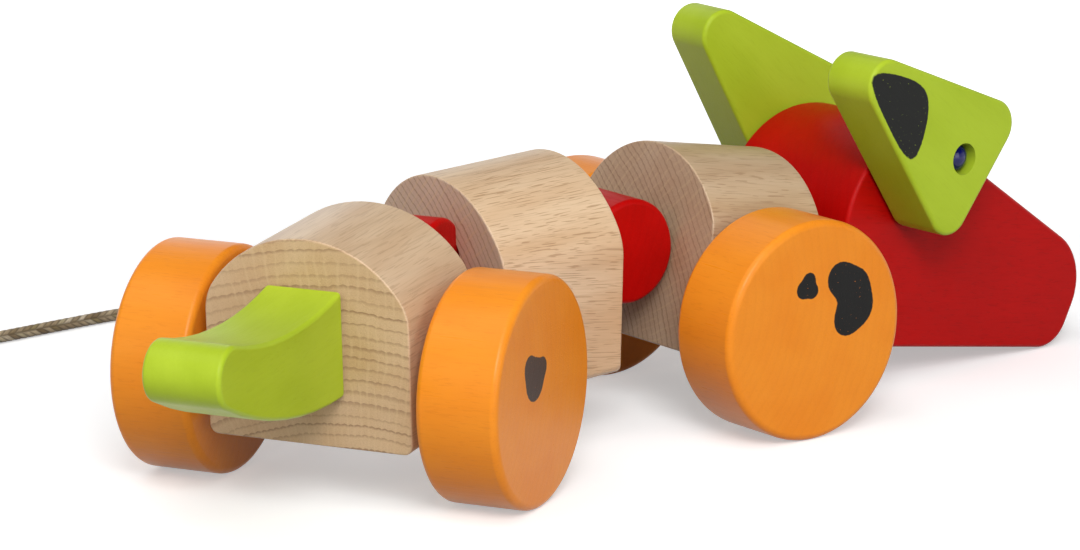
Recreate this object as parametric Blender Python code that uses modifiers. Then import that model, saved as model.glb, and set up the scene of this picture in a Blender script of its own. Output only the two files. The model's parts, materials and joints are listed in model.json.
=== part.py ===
"""Wooden pull-along dog: three arched blocks on knuckle joints, four wheels, a head with turning ears."""
import bpy
import bmesh
from math import asin, atan2, cos, degrees, hypot, pi, radians, sin, tan
from mathutils import Euler, Matrix, Vector

# Driving sizes, in metres
WHEEL_DIAMETER = 0.054
WHEEL_THICKNESS = 0.020
WHEEL_EDGE_RADIUS = 0.0018
WHEEL_BORE_DEPTH = 0.013
WHEEL_CLEARANCE = 0.0001    # wheel to the next block's corner at full swing, seen from above
REAR_WHEEL_OVERHANG = 0.0137  # rear wheel past the front face of its block
FRONT_WHEEL_OVERHANG = 0.0105  # front wheel past the rear face of its block
AXLE_DIAMETER = 0.008

BLOCK_WIDTH = 0.0511
BLOCK_HEIGHT = 0.0484
BLOCK_LENGTH = 0.0349
SHOULDER_ANGLE = 63.3       # each side of the arch, from its middle, degrees
BLOCK_CORNER_RADIUS = 0.0022
BLOCK_EDGE_RADIUS = 0.0008
BELLY_CLEARANCE = 0.0159     # floor to the underside of a level block

KNUCKLE_DIAMETER = 0.025
KNUCKLE_WIDTH = 0.026
KNUCKLE_EDGE_RADIUS = 0.0013
KNUCKLE_FACE_GAP = 0.0005   # knuckle to the block that swings on it
REAR_JOINT_HEIGHT = 0.0270  # above the underside of a block
FRONT_JOINT_HEIGHT = 0.0234
SOCKET_DEPTH = 0.005        # round recess that lets the knuckle's corner swing
HINGE_PIN_DIAMETER = 0.004
HINGE_PIN_COVER = 0.0015    # pin's ends below the top and bottom of the knuckle
TONGUE_WIDTH = 0.006
TONGUE_THICKNESS = 0.005
TONGUE_EYE_DIAMETER = 0.0105
TONGUE_ROOT = 0.010         # length glued into the block
YAW_STOP = 31.5             # largest swing of a knuckle, degrees each way
NOD_STOP = 14.5             # largest nod of a knuckle, degrees each way
DOWEL_DIAMETER = 0.008
DOWEL_DEPTH = 0.009         # in the block behind a knuckle
KNUCKLE_WALL = 0.0013       # wood between the tongue slot and the dowel hole

HEAD_LENGTH = 0.0915
HEAD_HEIGHT = 0.0559
HEAD_WIDTH = 0.0470         # at the back of the head
HEAD_TAPER = 4.1            # each cheek draws in towards the nose, degrees
HEAD_EDGE_RADIUS = 0.0011
HEAD_GAP = 0.0097           # between the front block and the back of the head
HEAD_RISE = 0.0026          # underside of the head above the underside of the block
CROWN_RADIUS = 0.0257
FOREHEAD_ANGLE = 50.28      # where the straight forehead leaves the crown, degrees
FOREHEAD_LENGTH = 0.00933
NOSE_HEIGHT = 0.0265
NOSE_RAKE = 0.0026
NOSE_RADIUS = 0.0123
CHIN_RADIUS = 0.0139
NAPE_RADIUS = 0.012
CHIN_CLEARANCE = 0.0006     # floor to the hanging chin
NECK_DIAMETER = 0.016
NECK_HEIGHT = 0.031         # above the underside of the block
NECK_DEPTH_BLOCK = 0.010
NECK_DEPTH_HEAD = 0.014

EAR_LENGTH = 0.0680         # sharp tip to the straight base
EAR_BASE = 0.0423
EAR_THICKNESS = 0.0151
EAR_CORNER_RADIUS = 0.0066
EAR_EDGE_RADIUS = 0.0011
EAR_PIVOT_INSET = 0.0109    # pivot from the base
EYE_X = 0.0219              # pivot from the back of the head
EYE_DROP = 0.0053           # pivot below the top of the crown
EYE_HEAD_DIAMETER = 0.0080
EYE_HEAD_HEIGHT = 0.0036
EYE_DOME_SHARE = 0.6        # of the peg's head that is domed
EYE_SHANK_DIAMETER = 0.005
EYE_RECESS = 0.0070         # depth of the eye hole to the shoulder
EYE_PEG_DEPTH = 0.012       # in the cheek
RIGHT_EAR_ANGLE = 151.1     # direction from the pivot to the tip, degrees from the nose upwards
LEFT_EAR_ANGLE = 144.7

TAIL_LENGTH = 0.0600
TAIL_WIDTH = 0.0190
TAIL_ROOT_HEIGHT = 0.0249
TAIL_ROOT_RISE = 0.0125     # underside of the root above the underside of the block
TAIL_TIP_RADIUS = 0.0071
TAIL_TIP_RISE = 0.0199      # centre of the round tip above the underside of the root
TAIL_TIP_START = 80.0       # arc of the round tip, degrees
TAIL_TIP_END = 245.0
TAIL_UPPER_DIP = 0.0037
TAIL_LOWER_BULGE = 0.0037
TAIL_EDGE_RADIUS = 0.0011
TAIL_DOWEL_DIAMETER = 0.006
TAIL_DOWEL_DEPTH = 0.009
TAIL_DOWEL_SPACING = 0.011

CORD_DIAMETER = 0.003
CORD_SPACING = 2.5          # cord diameters between the points of its curve
CORD_HOLE_HEIGHT = 0.0055   # above the underside of the front block
CORD_HOLE_DEPTH = 0.008
COIL_TURNS = 2
COIL_OUTER_RADIUS = 0.024
COIL_PITCH = 0.006
COIL_CURL_RADIUS = 0.007    # last quarter turn, towards the middle
KNOT_RADIUS = 0.0042

# Pose, in degrees, as the toy stands on the floor
MID_YAW = -0.6
MID_PITCH = 3.3
MID_ROLL = 6.1
REAR_YAW = 29.4

# Clearances
GLUE_GAP = 0.0003
RUNNING_GAP = 0.0004
SIDE_GAP = 0.0005           # ear to cheek

# Floor point under the front axle's middle, seen from the middle of the toy's outline
FRONT_AXLE_X = 0.0346
FRONT_AXLE_Y = 0.0093

# The free cord's way over the floor, from the floor below the mouth of its hole: forward, left, up
CORD_ROUTE = [
    (0.0049, 0.0002, 0.0158), (0.0065, 0.0010, 0.0128), (0.0071, 0.0024, 0.0094),
    (0.0075, 0.0050, 0.0060), (0.0081, 0.0090, 0.0034), (0.0089, 0.0140, 0.0020),
    (0.0101, 0.0205, 0.0017), (0.0123, 0.0300, 0.0017), (0.0151, 0.0450, 0.0017),
    (0.0167, 0.0620, 0.0017), (0.0155, 0.0810, 0.0017), (0.0095, 0.1010, 0.0017),
    (-0.0025, 0.1205, 0.0017), (-0.0197, 0.1365, 0.0017), (-0.0412, 0.1475, 0.0017),
    (-0.0647, 0.1530, 0.0017), (-0.0887, 0.1544, 0.0017), (-0.1077, 0.1535, 0.0017),
    (-0.1267, 0.1522, 0.0017), (-0.1427, 0.1514, 0.0017), (-0.1587, 0.1512, 0.0017),
]

# Derived sizes
WHEEL_RADIUS = WHEEL_DIAMETER / 2
HALF_WIDTH = BLOCK_WIDTH / 2
HALF_LENGTH = BLOCK_LENGTH / 2
AXLE_HEIGHT = WHEEL_RADIUS - BELLY_CLEARANCE
KNUCKLE_RADIUS = KNUCKLE_DIAMETER / 2
REACH = KNUCKLE_RADIUS + KNUCKLE_FACE_GAP
TONGUE_LENGTH = REACH + SOCKET_DEPTH + TONGUE_ROOT
HINGE_PIN_LENGTH = KNUCKLE_DIAMETER - 2 * HINGE_PIN_COVER
BLOCK_ARCH_RADIUS = HALF_WIDTH / sin(radians(SHOULDER_ANGLE))
FULL_SWING = radians(YAW_STOP)
TRACK_INNER = REACH * sin(FULL_SWING) + HALF_WIDTH * cos(FULL_SWING) + WHEEL_CLEARANCE
AXLE_LENGTH = 2 * (TRACK_INNER + WHEEL_BORE_DEPTH - GLUE_GAP)
FRONT_AXLE_FROM_JOINT = REACH + WHEEL_RADIUS - FRONT_WHEEL_OVERHANG
REAR_AXLE_FROM_JOINT = REACH + WHEEL_RADIUS - REAR_WHEEL_OVERHANG
HEAD_FROM_JOINT = REACH + BLOCK_LENGTH + HEAD_GAP
EYE_HEIGHT = HEAD_HEIGHT - EYE_DROP

# Fineness of round shapes, in steps
ROUND_STEPS = 48
SMALL_STEPS = 24
EYE_STEPS = 32
ARCH_STEPS = 28
CROWN_STEPS = 20
TIP_STEPS = 16
BOW_STEPS = 10
CORNER_STEPS = 8
EDGE_STEPS = 4
CURL_STEPS = 6
KNOT_STEPS = 16
BEVEL_SEGMENTS = 2
BEVEL_ANGLE = 50.0
SHARP_ANGLE = 35.0
WELD = 1e-6

# How far a cutter reaches past the face it cuts
CUT_OVERSHOOT = 0.002

for old in list(bpy.data.objects):
    bpy.data.objects.remove(old, do_unlink=True)

parts = bpy.data.collections.new("pull_along_dog")
cutters = bpy.data.collections.new("cutters")
bpy.context.scene.collection.children.link(parts)
bpy.context.scene.collection.children.link(cutters)


# Materials
def material(name, colour, roughness):
    made = bpy.data.materials.new(name)
    made.use_nodes = True
    shader = made.node_tree.nodes["Principled BSDF"]
    shader.inputs["Base Color"].default_value = (*colour, 1.0)
    shader.inputs["Roughness"].default_value = roughness
    made.diffuse_color = (*colour, 1.0)
    return made


beech = material("beech", (0.730, 0.515, 0.305), 0.50)
birch = material("birch dowel", (0.780, 0.600, 0.380), 0.55)
orange_paint = material("orange paint", (0.905, 0.292, 0.036), 0.34)
green_paint = material("green paint", (0.402, 0.546, 0.045), 0.36)
red_paint = material("red paint", (0.434, 0.011, 0.009), 0.34)
blue_gloss = material("blue gloss", (0.010, 0.016, 0.120), 0.12)
cord_cotton = material("braided cotton", (0.330, 0.250, 0.150), 0.85)


# Building blocks
def put(mesh, name, paint, parent, location=(0, 0, 0), rotation=(0, 0, 0), group=parts):
    made = bpy.data.objects.new(name, mesh)
    group.objects.link(made)
    made.parent = parent
    made.location = location
    made.rotation_euler = rotation
    if paint:
        mesh.materials.append(paint)
    return made


def empty(name, parent, location, rotation=(0, 0, 0)):
    made = bpy.data.objects.new(name, None)
    parts.objects.link(made)
    made.parent = parent
    made.location = location
    made.rotation_euler = rotation
    return made


def smooth(made):
    made.data.polygons.foreach_set("use_smooth", [True] * len(made.data.polygons))
    made.data.set_sharp_from_angle(angle=radians(SHARP_ANGLE))


def rounded(corners):
    """Outline points from corners (x, y, radius), each rounded by an arc."""
    points = []
    for index, (x, y, radius) in enumerate(corners):
        here = Vector((x, y))
        if radius == 0:
            points.append(here)
            continue
        before = (Vector(corners[index - 1][:2]) - here).normalized()
        after = (Vector(corners[(index + 1) % len(corners)][:2]) - here).normalized()
        half = before.angle(after) / 2
        centre = here + (before + after).normalized() * radius / sin(half)
        start = here + before * radius / tan(half) - centre
        turn = start.angle_signed(here + after * radius / tan(half) - centre)
        for step in range(CORNER_STEPS + 1):
            points.append(centre + Matrix.Rotation(-turn * step / CORNER_STEPS, 2) @ start)
    return points


def arc(centre_x, centre_y, radius, first, last, steps):
    """Points of an arc from the first angle to the last, in degrees."""
    angles = [radians(first + (last - first) * step / steps) for step in range(steps + 1)]
    return [(centre_x + radius * cos(a), centre_y + radius * sin(a)) for a in angles]


def plate(points, thickness, turn=Matrix()):
    """Mesh of a flat outline, as thick as asked, turned from the XY plane."""
    curve = bpy.data.curves.new("outline", "CURVE")
    curve.dimensions = "2D"
    curve.fill_mode = "BOTH"
    curve.extrude = thickness / 2
    spline = curve.splines.new("POLY")
    spline.points.add(len(points) - 1)
    for point, place in zip(spline.points, points):
        point.co = (place[0], place[1], 0, 1)
    spline.use_cyclic_u = True
    return curve_mesh(curve, turn)


def curve_mesh(curve, turn=Matrix()):
    """Closed mesh made from a curve, which is then removed."""
    holder = bpy.data.objects.new("curve", curve)
    parts.objects.link(holder)
    graph = bpy.context.evaluated_depsgraph_get()
    mesh = bpy.data.meshes.new_from_object(holder.evaluated_get(graph))
    bpy.data.objects.remove(holder)
    bpy.data.curves.remove(curve)
    mesh.materials.clear()
    work = bmesh.new()
    work.from_mesh(mesh)
    bmesh.ops.remove_doubles(work, verts=work.verts, dist=WELD)
    bmesh.ops.transform(work, matrix=turn, verts=work.verts)
    bmesh.ops.recalc_face_normals(work, faces=work.faces)
    work.to_mesh(mesh)
    work.free()
    return mesh


def rod(radius, low, high, axis, steps=SMALL_STEPS):
    """Cylinder mesh along an axis, from low to high."""
    turn = {"X": Matrix.Rotation(pi / 2, 4, "Y"), "Y": Matrix.Rotation(-pi / 2, 4, "X"), "Z": Matrix()}[axis]
    shift = Matrix.Translation((0, 0, (low + high) / 2))
    work = bmesh.new()
    bmesh.ops.create_cone(work, cap_ends=True, segments=steps, radius1=radius, radius2=radius,
                          depth=high - low, matrix=turn @ shift)
    mesh = bpy.data.meshes.new("rod")
    work.to_mesh(mesh)
    work.free()
    return mesh


def box(low, high):
    """Box mesh between two corners."""
    low, high = Vector(low), Vector(high)
    work = bmesh.new()
    bmesh.ops.create_cube(work, size=1.0)
    bmesh.ops.scale(work, vec=high - low, verts=work.verts)
    bmesh.ops.translate(work, vec=(low + high) / 2, verts=work.verts)
    mesh = bpy.data.meshes.new("box")
    work.to_mesh(mesh)
    work.free()
    return mesh


def turned(profile, steps=ROUND_STEPS):
    """Mesh of a profile (radius, height), from top to bottom, turned about Z."""
    mesh = bpy.data.meshes.new("profile")
    edges = [(i, i + 1) for i in range(len(profile) - 1)]
    mesh.from_pydata([(radius, 0, height) for radius, height in profile], edges, [])
    holder = bpy.data.objects.new("profile", mesh)
    parts.objects.link(holder)
    screw = holder.modifiers.new("turn", "SCREW")
    screw.axis = "Z"
    screw.steps = steps
    screw.render_steps = steps
    screw.use_merge_vertices = True
    screw.merge_threshold = WELD
    graph = bpy.context.evaluated_depsgraph_get()
    made = bpy.data.meshes.new_from_object(holder.evaluated_get(graph))
    bpy.data.objects.remove(holder)
    bpy.data.meshes.remove(mesh)
    work = bmesh.new()
    work.from_mesh(made)
    bmesh.ops.remove_doubles(work, verts=work.verts, dist=WELD)
    bmesh.ops.recalc_face_normals(work, faces=work.faces)
    work.to_mesh(made)
    work.free()
    return made


def round_edges(made, radius):
    bevel = made.modifiers.new("rounded edges", "BEVEL")
    bevel.width = radius
    bevel.segments = BEVEL_SEGMENTS
    bevel.limit_method = "ANGLE"
    bevel.angle_limit = radians(BEVEL_ANGLE)


def cut(target, mesh, label, location=(0, 0, 0), rotation=(0, 0, 0)):
    """Take a cutter's shape out of a piece; the cutter sits in the piece's own frame."""
    cutter = put(mesh, f"cut {target.name} {label}", None, target, location, rotation, cutters)
    cutter.hide_render = True
    cutter.display_type = "WIRE"
    boolean = target.modifiers.new(label, "BOOLEAN")
    boolean.operation = "DIFFERENCE"
    boolean.solver = "EXACT"
    boolean.object = cutter


# Standing pose: the nose hangs low and the rear wheels meet the floor
head_x = HEAD_FROM_JOINT - FRONT_AXLE_FROM_JOINT
chin_x = head_x + HEAD_LENGTH - CHIN_RADIUS
chin_z = HEAD_RISE - AXLE_HEIGHT + CHIN_RADIUS
chin_drop = (CHIN_CLEARANCE + CHIN_RADIUS - WHEEL_RADIUS) / hypot(chin_x, chin_z)
front_pitch = asin(chin_drop) - atan2(chin_z, chin_x)
front_turn = Euler((0, -front_pitch, 0))
front_axle = Vector((FRONT_AXLE_X, FRONT_AXLE_Y, WHEEL_RADIUS))
front_joint = front_axle + front_turn.to_matrix() @ Vector(
    (-FRONT_AXLE_FROM_JOINT, 0, FRONT_JOINT_HEIGHT - AXLE_HEIGHT))

mid_turn = Euler((radians(MID_ROLL), -radians(MID_PITCH), radians(MID_YAW)))
mid_basis = mid_turn.to_matrix()
mid_belly = front_joint - mid_basis @ Vector((HALF_LENGTH + REACH, 0, FRONT_JOINT_HEIGHT))
rear_joint = mid_belly + mid_basis @ Vector((-HALF_LENGTH - REACH, 0, REAR_JOINT_HEIGHT))

rear_rise = REAR_JOINT_HEIGHT - AXLE_HEIGHT
rear_span = hypot(REAR_AXLE_FROM_JOINT, rear_rise)
rear_pitch = asin((rear_joint.z - WHEEL_RADIUS) / rear_span) - atan2(rear_rise, REAR_AXLE_FROM_JOINT)
rear_turn = Euler((0, -rear_pitch, radians(REAR_YAW)))

front = empty("front_joint", None, front_joint, front_turn)
mid = empty("mid_belly", None, mid_belly, mid_turn)
rear = empty("rear_joint", None, rear_joint, rear_turn)
mid_front = empty("mid_front_joint", mid, (HALF_LENGTH + REACH, 0, FRONT_JOINT_HEIGHT))
mid_rear = empty("mid_rear_joint", mid, (-HALF_LENGTH - REACH, 0, REAR_JOINT_HEIGHT))


# Arched body blocks
def arch_outline():
    bottom = [(-HALF_WIDTH, 0, BLOCK_CORNER_RADIUS), (HALF_WIDTH, 0, BLOCK_CORNER_RADIUS)]
    centre = BLOCK_HEIGHT - BLOCK_ARCH_RADIUS
    top = arc(0, centre, BLOCK_ARCH_RADIUS, 90 - SHOULDER_ANGLE, 90 + SHOULDER_ANGLE, ARCH_STEPS)
    return rounded(bottom + [(x, y, 0) for x, y in top])


def block(name, parent, centre_x, joint_height):
    """Arched block along X; its origin is the middle of its underside."""
    upright = Matrix(((0, 0, 1, 0), (1, 0, 0, 0), (0, 1, 0, 0), (0, 0, 0, 1)))
    mesh = plate(arch_outline(), BLOCK_LENGTH, upright)
    made = put(mesh, name, beech, parent, (centre_x, 0, -joint_height))
    smooth(made)
    round_edges(made, BLOCK_EDGE_RADIUS)
    return made


def bore_for_axle(made, axle_x):
    reach = HALF_WIDTH + CUT_OVERSHOOT
    cut(made, rod(AXLE_DIAMETER / 2 + RUNNING_GAP, -reach, reach, "Y"), "axle bore", (axle_x, 0, AXLE_HEIGHT))


def socket_for_tongue(made, joint_height):
    """Round recess and glue slot in the rear face, for the tongue of the joint behind."""
    floor = -HALF_LENGTH + SOCKET_DEPTH
    recess = rod(KNUCKLE_RADIUS, -HALF_LENGTH - CUT_OVERSHOOT, floor, "X", ROUND_STEPS)
    cut(made, recess, "socket", (0, 0, joint_height))
    half_width = TONGUE_WIDTH / 2 + GLUE_GAP
    half_height = TONGUE_THICKNESS / 2 + GLUE_GAP
    slot = box((-HALF_LENGTH + SOCKET_DEPTH / 2, -half_width, -half_height),
               (floor + TONGUE_ROOT + GLUE_GAP, half_width, half_height))
    cut(made, slot, "tongue slot", (0, 0, joint_height))


def hole_in_front(made, radius, depth, height, label):
    bore = rod(radius, HALF_LENGTH - depth, HALF_LENGTH + CUT_OVERSHOOT, "X")
    cut(made, bore, label, (0, 0, height))


block_x = REACH + HALF_LENGTH
front_block = block("front_block", front, block_x, FRONT_JOINT_HEIGHT)
mid_block = block("mid_block", mid, 0, 0)
rear_block = block("rear_block", rear, -block_x, REAR_JOINT_HEIGHT)

front_axle_x = FRONT_AXLE_FROM_JOINT - block_x
rear_axle_x = block_x - REAR_AXLE_FROM_JOINT
bore_for_axle(front_block, front_axle_x)
bore_for_axle(rear_block, rear_axle_x)
socket_for_tongue(front_block, FRONT_JOINT_HEIGHT)
socket_for_tongue(mid_block, REAR_JOINT_HEIGHT)
dowel_hole = DOWEL_DIAMETER / 2 + GLUE_GAP
hole_in_front(mid_block, dowel_hole, DOWEL_DEPTH + GLUE_GAP, FRONT_JOINT_HEIGHT, "dowel hole")
hole_in_front(rear_block, dowel_hole, DOWEL_DEPTH + GLUE_GAP, REAR_JOINT_HEIGHT, "dowel hole")
neck_bore = NECK_DIAMETER / 2 + GLUE_GAP
hole_in_front(front_block, neck_bore, NECK_DEPTH_BLOCK + GLUE_GAP, NECK_HEIGHT, "neck hole")
hole_in_front(front_block, CORD_DIAMETER / 2 + RUNNING_GAP, CORD_HOLE_DEPTH, CORD_HOLE_HEIGHT, "cord hole")


# Knuckles: each is glued to the block behind it and pinned to the tongue of the block ahead
def knuckle(name, parent):
    half = KNUCKLE_WIDTH / 2
    made = put(rod(KNUCKLE_RADIUS, -half, half, "Y", ROUND_STEPS), name, red_paint, parent)
    smooth(made)
    round_edges(made, KNUCKLE_EDGE_RADIUS)
    nod = radians(NOD_STOP)
    back = TONGUE_EYE_DIAMETER / 2 + TONGUE_THICKNESS / 2 * sin(nod) + RUNNING_GAP
    neck = back / 2
    mouth = KNUCKLE_RADIUS + CUT_OVERSHOOT
    spread = (TONGUE_WIDTH / 2) / cos(FULL_SWING) + RUNNING_GAP
    at_neck = max(back, neck * tan(FULL_SWING) + spread)
    at_mouth = mouth * tan(FULL_SWING) + spread
    right_edge = [(-back, -back), (neck, -at_neck), (mouth, -at_mouth)]
    wedge = right_edge + [(x, -y) for x, y in reversed(right_edge)]
    slot_height = 2 * (KNUCKLE_RADIUS * tan(nod) + TONGUE_THICKNESS / 2 / cos(nod) + RUNNING_GAP)
    cut(made, plate(wedge, slot_height), "tongue slot")
    half_pin = HINGE_PIN_LENGTH / 2 + GLUE_GAP
    cut(made, rod(HINGE_PIN_DIAMETER / 2 + GLUE_GAP, -half_pin, mouth, "Z"), "pin hole")
    dowel_end = back + KNUCKLE_WALL
    cut(made, rod(dowel_hole, -KNUCKLE_RADIUS - CUT_OVERSHOOT, -dowel_end, "X"), "dowel hole")
    dowel = rod(DOWEL_DIAMETER / 2, -REACH - DOWEL_DEPTH, -dowel_end - GLUE_GAP, "X")
    put(dowel, f"{name}_dowel", birch, parent)


def tongue(name, parent):
    eye = TONGUE_EYE_DIAMETER / 2
    half = TONGUE_WIDTH / 2
    meet = degrees(asin(half / eye))
    outline = arc(0, 0, eye, meet, 360 - meet, ARCH_STEPS) + [(TONGUE_LENGTH, -half), (TONGUE_LENGTH, half)]
    made = put(plate(outline, TONGUE_THICKNESS), name, birch, parent)
    nod = radians(NOD_STOP)
    hole = HINGE_PIN_DIAMETER / 2 / cos(nod) + TONGUE_THICKNESS / 2 * tan(nod) + RUNNING_GAP
    reach = TONGUE_THICKNESS / 2 + CUT_OVERSHOOT
    cut(made, rod(hole, -reach, reach, "Z"), "pin eye")


def hinge_pin(name, parent):
    half = HINGE_PIN_LENGTH / 2
    smooth(put(rod(HINGE_PIN_DIAMETER / 2, -half, half, "Z"), name, birch, parent))


knuckle("front_knuckle", mid_front)
knuckle("rear_knuckle", rear)
tongue("front_tongue", front)
tongue("rear_tongue", mid_rear)
hinge_pin("front_hinge_pin", mid_front)
hinge_pin("rear_hinge_pin", rear)


# Wheels glued on turning axles
def wheel(name, parent, side):
    half = WHEEL_THICKNESS / 2
    edge = WHEEL_EDGE_RADIUS
    bore = AXLE_DIAMETER / 2 + GLUE_GAP
    outer = arc(WHEEL_RADIUS - edge, half - edge, edge, 90, 0, EDGE_STEPS)
    inner = arc(WHEEL_RADIUS - edge, edge - half, edge, 0, -90, EDGE_STEPS)
    bottom = WHEEL_BORE_DEPTH - half
    profile = [(0, half)] + outer + inner + [(bore, -half), (bore, bottom), (0, bottom)]
    made = put(turned(profile), name, orange_paint, parent, (0, side * (TRACK_INNER + half), 0),
               (-side * pi / 2, 0, 0))
    smooth(made)


def wheelset(name, parent, axle_x, joint_height):
    hub = empty(f"{name}_wheels", parent, (axle_x, 0, AXLE_HEIGHT - joint_height))
    axle = rod(AXLE_DIAMETER / 2, -AXLE_LENGTH / 2, AXLE_LENGTH / 2, "Y")
    smooth(put(axle, f"{name}_axle", birch, hub))
    wheel(f"{name}_left_wheel", hub, 1)
    wheel(f"{name}_right_wheel", hub, -1)


wheelset("front", front, FRONT_AXLE_FROM_JOINT, FRONT_JOINT_HEIGHT)
wheelset("rear", rear, -REAR_AXLE_FROM_JOINT, REAR_JOINT_HEIGHT)

# Head on its neck dowel
head_frame = empty("head_frame", front, (HEAD_FROM_JOINT, 0, HEAD_RISE - FRONT_JOINT_HEIGHT))
side_view = Matrix.Rotation(pi / 2, 4, "X")
crown = arc(CROWN_RADIUS, HEAD_HEIGHT - CROWN_RADIUS, CROWN_RADIUS, FOREHEAD_ANGLE, 180, CROWN_STEPS)
forehead = radians(FOREHEAD_ANGLE)
brow_x = crown[0][0] + FOREHEAD_LENGTH * sin(forehead)
brow_height = crown[0][1] - FOREHEAD_LENGTH * cos(forehead)
head_outline = rounded([
    (0, 0, NAPE_RADIUS), (HEAD_LENGTH, 0, CHIN_RADIUS), (HEAD_LENGTH - NOSE_RAKE, NOSE_HEIGHT, NOSE_RADIUS),
    (brow_x, brow_height, 0)] + [(x, y, 0) for x, y in crown])
head_mesh = plate(head_outline, HEAD_WIDTH, side_view)
for vertex in head_mesh.vertices:
    vertex.co.y *= 1 - 2 * vertex.co.x * tan(radians(HEAD_TAPER)) / HEAD_WIDTH
head = put(head_mesh, "head", red_paint, head_frame)
smooth(head)
round_edges(head, HEAD_EDGE_RADIUS)

neck_z = NECK_HEIGHT - HEAD_RISE
neck_hole = rod(neck_bore, -CUT_OVERSHOOT, NECK_DEPTH_HEAD + GLUE_GAP, "X")
cut(head, neck_hole, "neck hole", (0, 0, neck_z))
neck = rod(NECK_DIAMETER / 2, -HEAD_GAP - NECK_DEPTH_BLOCK, NECK_DEPTH_HEAD, "X", ROUND_STEPS)
smooth(put(neck, "neck_dowel", red_paint, head_frame, (0, 0, neck_z)))


# Ears turning on the eye pegs
def ear(side_name, side, angle):
    """Ear and peg; in the pivot's frame +Z points out of the cheek and +X towards the nose."""
    taper = radians(HEAD_TAPER)
    cheek = HEAD_WIDTH / 2 - EYE_X * tan(taper)
    facing = Euler((-side * pi / 2, 0, -side * taper))
    pivot = empty(f"{side_name}_ear_pivot", head_frame, (EYE_X, side * cheek, EYE_HEIGHT), facing)
    half_base = EAR_BASE / 2
    outline = rounded([(-EAR_PIVOT_INSET, -half_base, EAR_CORNER_RADIUS),
                       (EAR_LENGTH - EAR_PIVOT_INSET, 0, EAR_CORNER_RADIUS),
                       (-EAR_PIVOT_INSET, half_base, EAR_CORNER_RADIUS)])
    lift = Matrix.Translation((0, 0, SIDE_GAP + EAR_THICKNESS / 2))
    made = put(plate(outline, EAR_THICKNESS, lift), f"{side_name}_ear", green_paint, pivot,
               (0, 0, 0), (0, 0, -side * radians(angle)))
    smooth(made)
    round_edges(made, EAR_EDGE_RADIUS)
    outside = SIDE_GAP + EAR_THICKNESS
    shoulder = outside - EYE_RECESS
    shank = EYE_SHANK_DIAMETER / 2
    cap = EYE_HEAD_DIAMETER / 2
    cut(made, rod(shank + RUNNING_GAP, -CUT_OVERSHOOT, outside, "Z"), "pivot hole")
    cut(made, rod(cap + RUNNING_GAP, shoulder, outside + CUT_OVERSHOOT, "Z", ROUND_STEPS), "eye hole")
    cut(head, rod(shank + GLUE_GAP, -EYE_PEG_DEPTH - GLUE_GAP, CUT_OVERSHOOT, "Z"), f"{side_name} peg hole",
        (EYE_X, side * cheek, EYE_HEIGHT), facing)
    seat = shoulder + GLUE_GAP
    dome_height = EYE_HEAD_HEIGHT * EYE_DOME_SHARE
    dome_base = seat + EYE_HEAD_HEIGHT - dome_height
    dome = [(cap * cos(a), dome_base + dome_height * sin(a))
            for a in [pi / 2 * (1 - step / CORNER_STEPS) for step in range(CORNER_STEPS + 1)]]
    profile = dome + [(cap, seat), (shank, seat), (shank, -EYE_PEG_DEPTH), (0, -EYE_PEG_DEPTH)]
    smooth(put(turned(profile, EYE_STEPS), f"{side_name}_eye_peg", blue_gloss, pivot))


ear("left", 1, LEFT_EAR_ANGLE)
ear("right", -1, RIGHT_EAR_ANGLE)

# Tail doweled to the rear face
tail_x = -REACH - BLOCK_LENGTH - GLUE_GAP
tail_frame = empty("tail_frame", rear, (tail_x, 0, TAIL_ROOT_RISE - REAR_JOINT_HEIGHT))


def bowed(start, end, bow):
    """Points of a shallow bow between two places, bulging to the left of the way."""
    way = Vector(end) - Vector(start)
    left = Vector((-way.y, way.x)).normalized()
    shares = [step / BOW_STEPS for step in range(1, BOW_STEPS)]
    return [tuple(Vector(start) + way * t + left * bow * 4 * t * (1 - t)) for t in shares]


tip_x = TAIL_TIP_RADIUS - TAIL_LENGTH
tip = arc(tip_x, TAIL_TIP_RISE, TAIL_TIP_RADIUS, TAIL_TIP_START, TAIL_TIP_END, TIP_STEPS)
upper = bowed((0, TAIL_ROOT_HEIGHT), tip[0], TAIL_UPPER_DIP)
lower = bowed(tip[-1], (0, 0), -TAIL_LOWER_BULGE)
tail_outline = [(0, 0), (0, TAIL_ROOT_HEIGHT)] + upper + tip + lower
tail = put(plate(tail_outline, TAIL_WIDTH, side_view), "tail", green_paint, tail_frame)
smooth(tail)
round_edges(tail, TAIL_EDGE_RADIUS)

tail_hole = TAIL_DOWEL_DIAMETER / 2 + GLUE_GAP
for label, side in (("lower", -1), ("upper", 1)):
    height = TAIL_ROOT_HEIGHT / 2 + side * TAIL_DOWEL_SPACING / 2
    in_tail = rod(tail_hole, -TAIL_DOWEL_DEPTH - GLUE_GAP, CUT_OVERSHOOT, "X")
    cut(tail, in_tail, f"{label} dowel hole", (0, 0, height))
    in_block = rod(tail_hole, -HALF_LENGTH - CUT_OVERSHOOT, -HALF_LENGTH + TAIL_DOWEL_DEPTH + GLUE_GAP, "X")
    cut(rear_block, in_block, f"{label} tail dowel hole", (0, 0, TAIL_ROOT_RISE + height))
    peg = rod(TAIL_DOWEL_DIAMETER / 2, -TAIL_DOWEL_DEPTH, TAIL_DOWEL_DEPTH + GLUE_GAP, "X")
    smooth(put(peg, f"{label}_tail_dowel", birch, tail_frame, (0, 0, height)))


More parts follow.
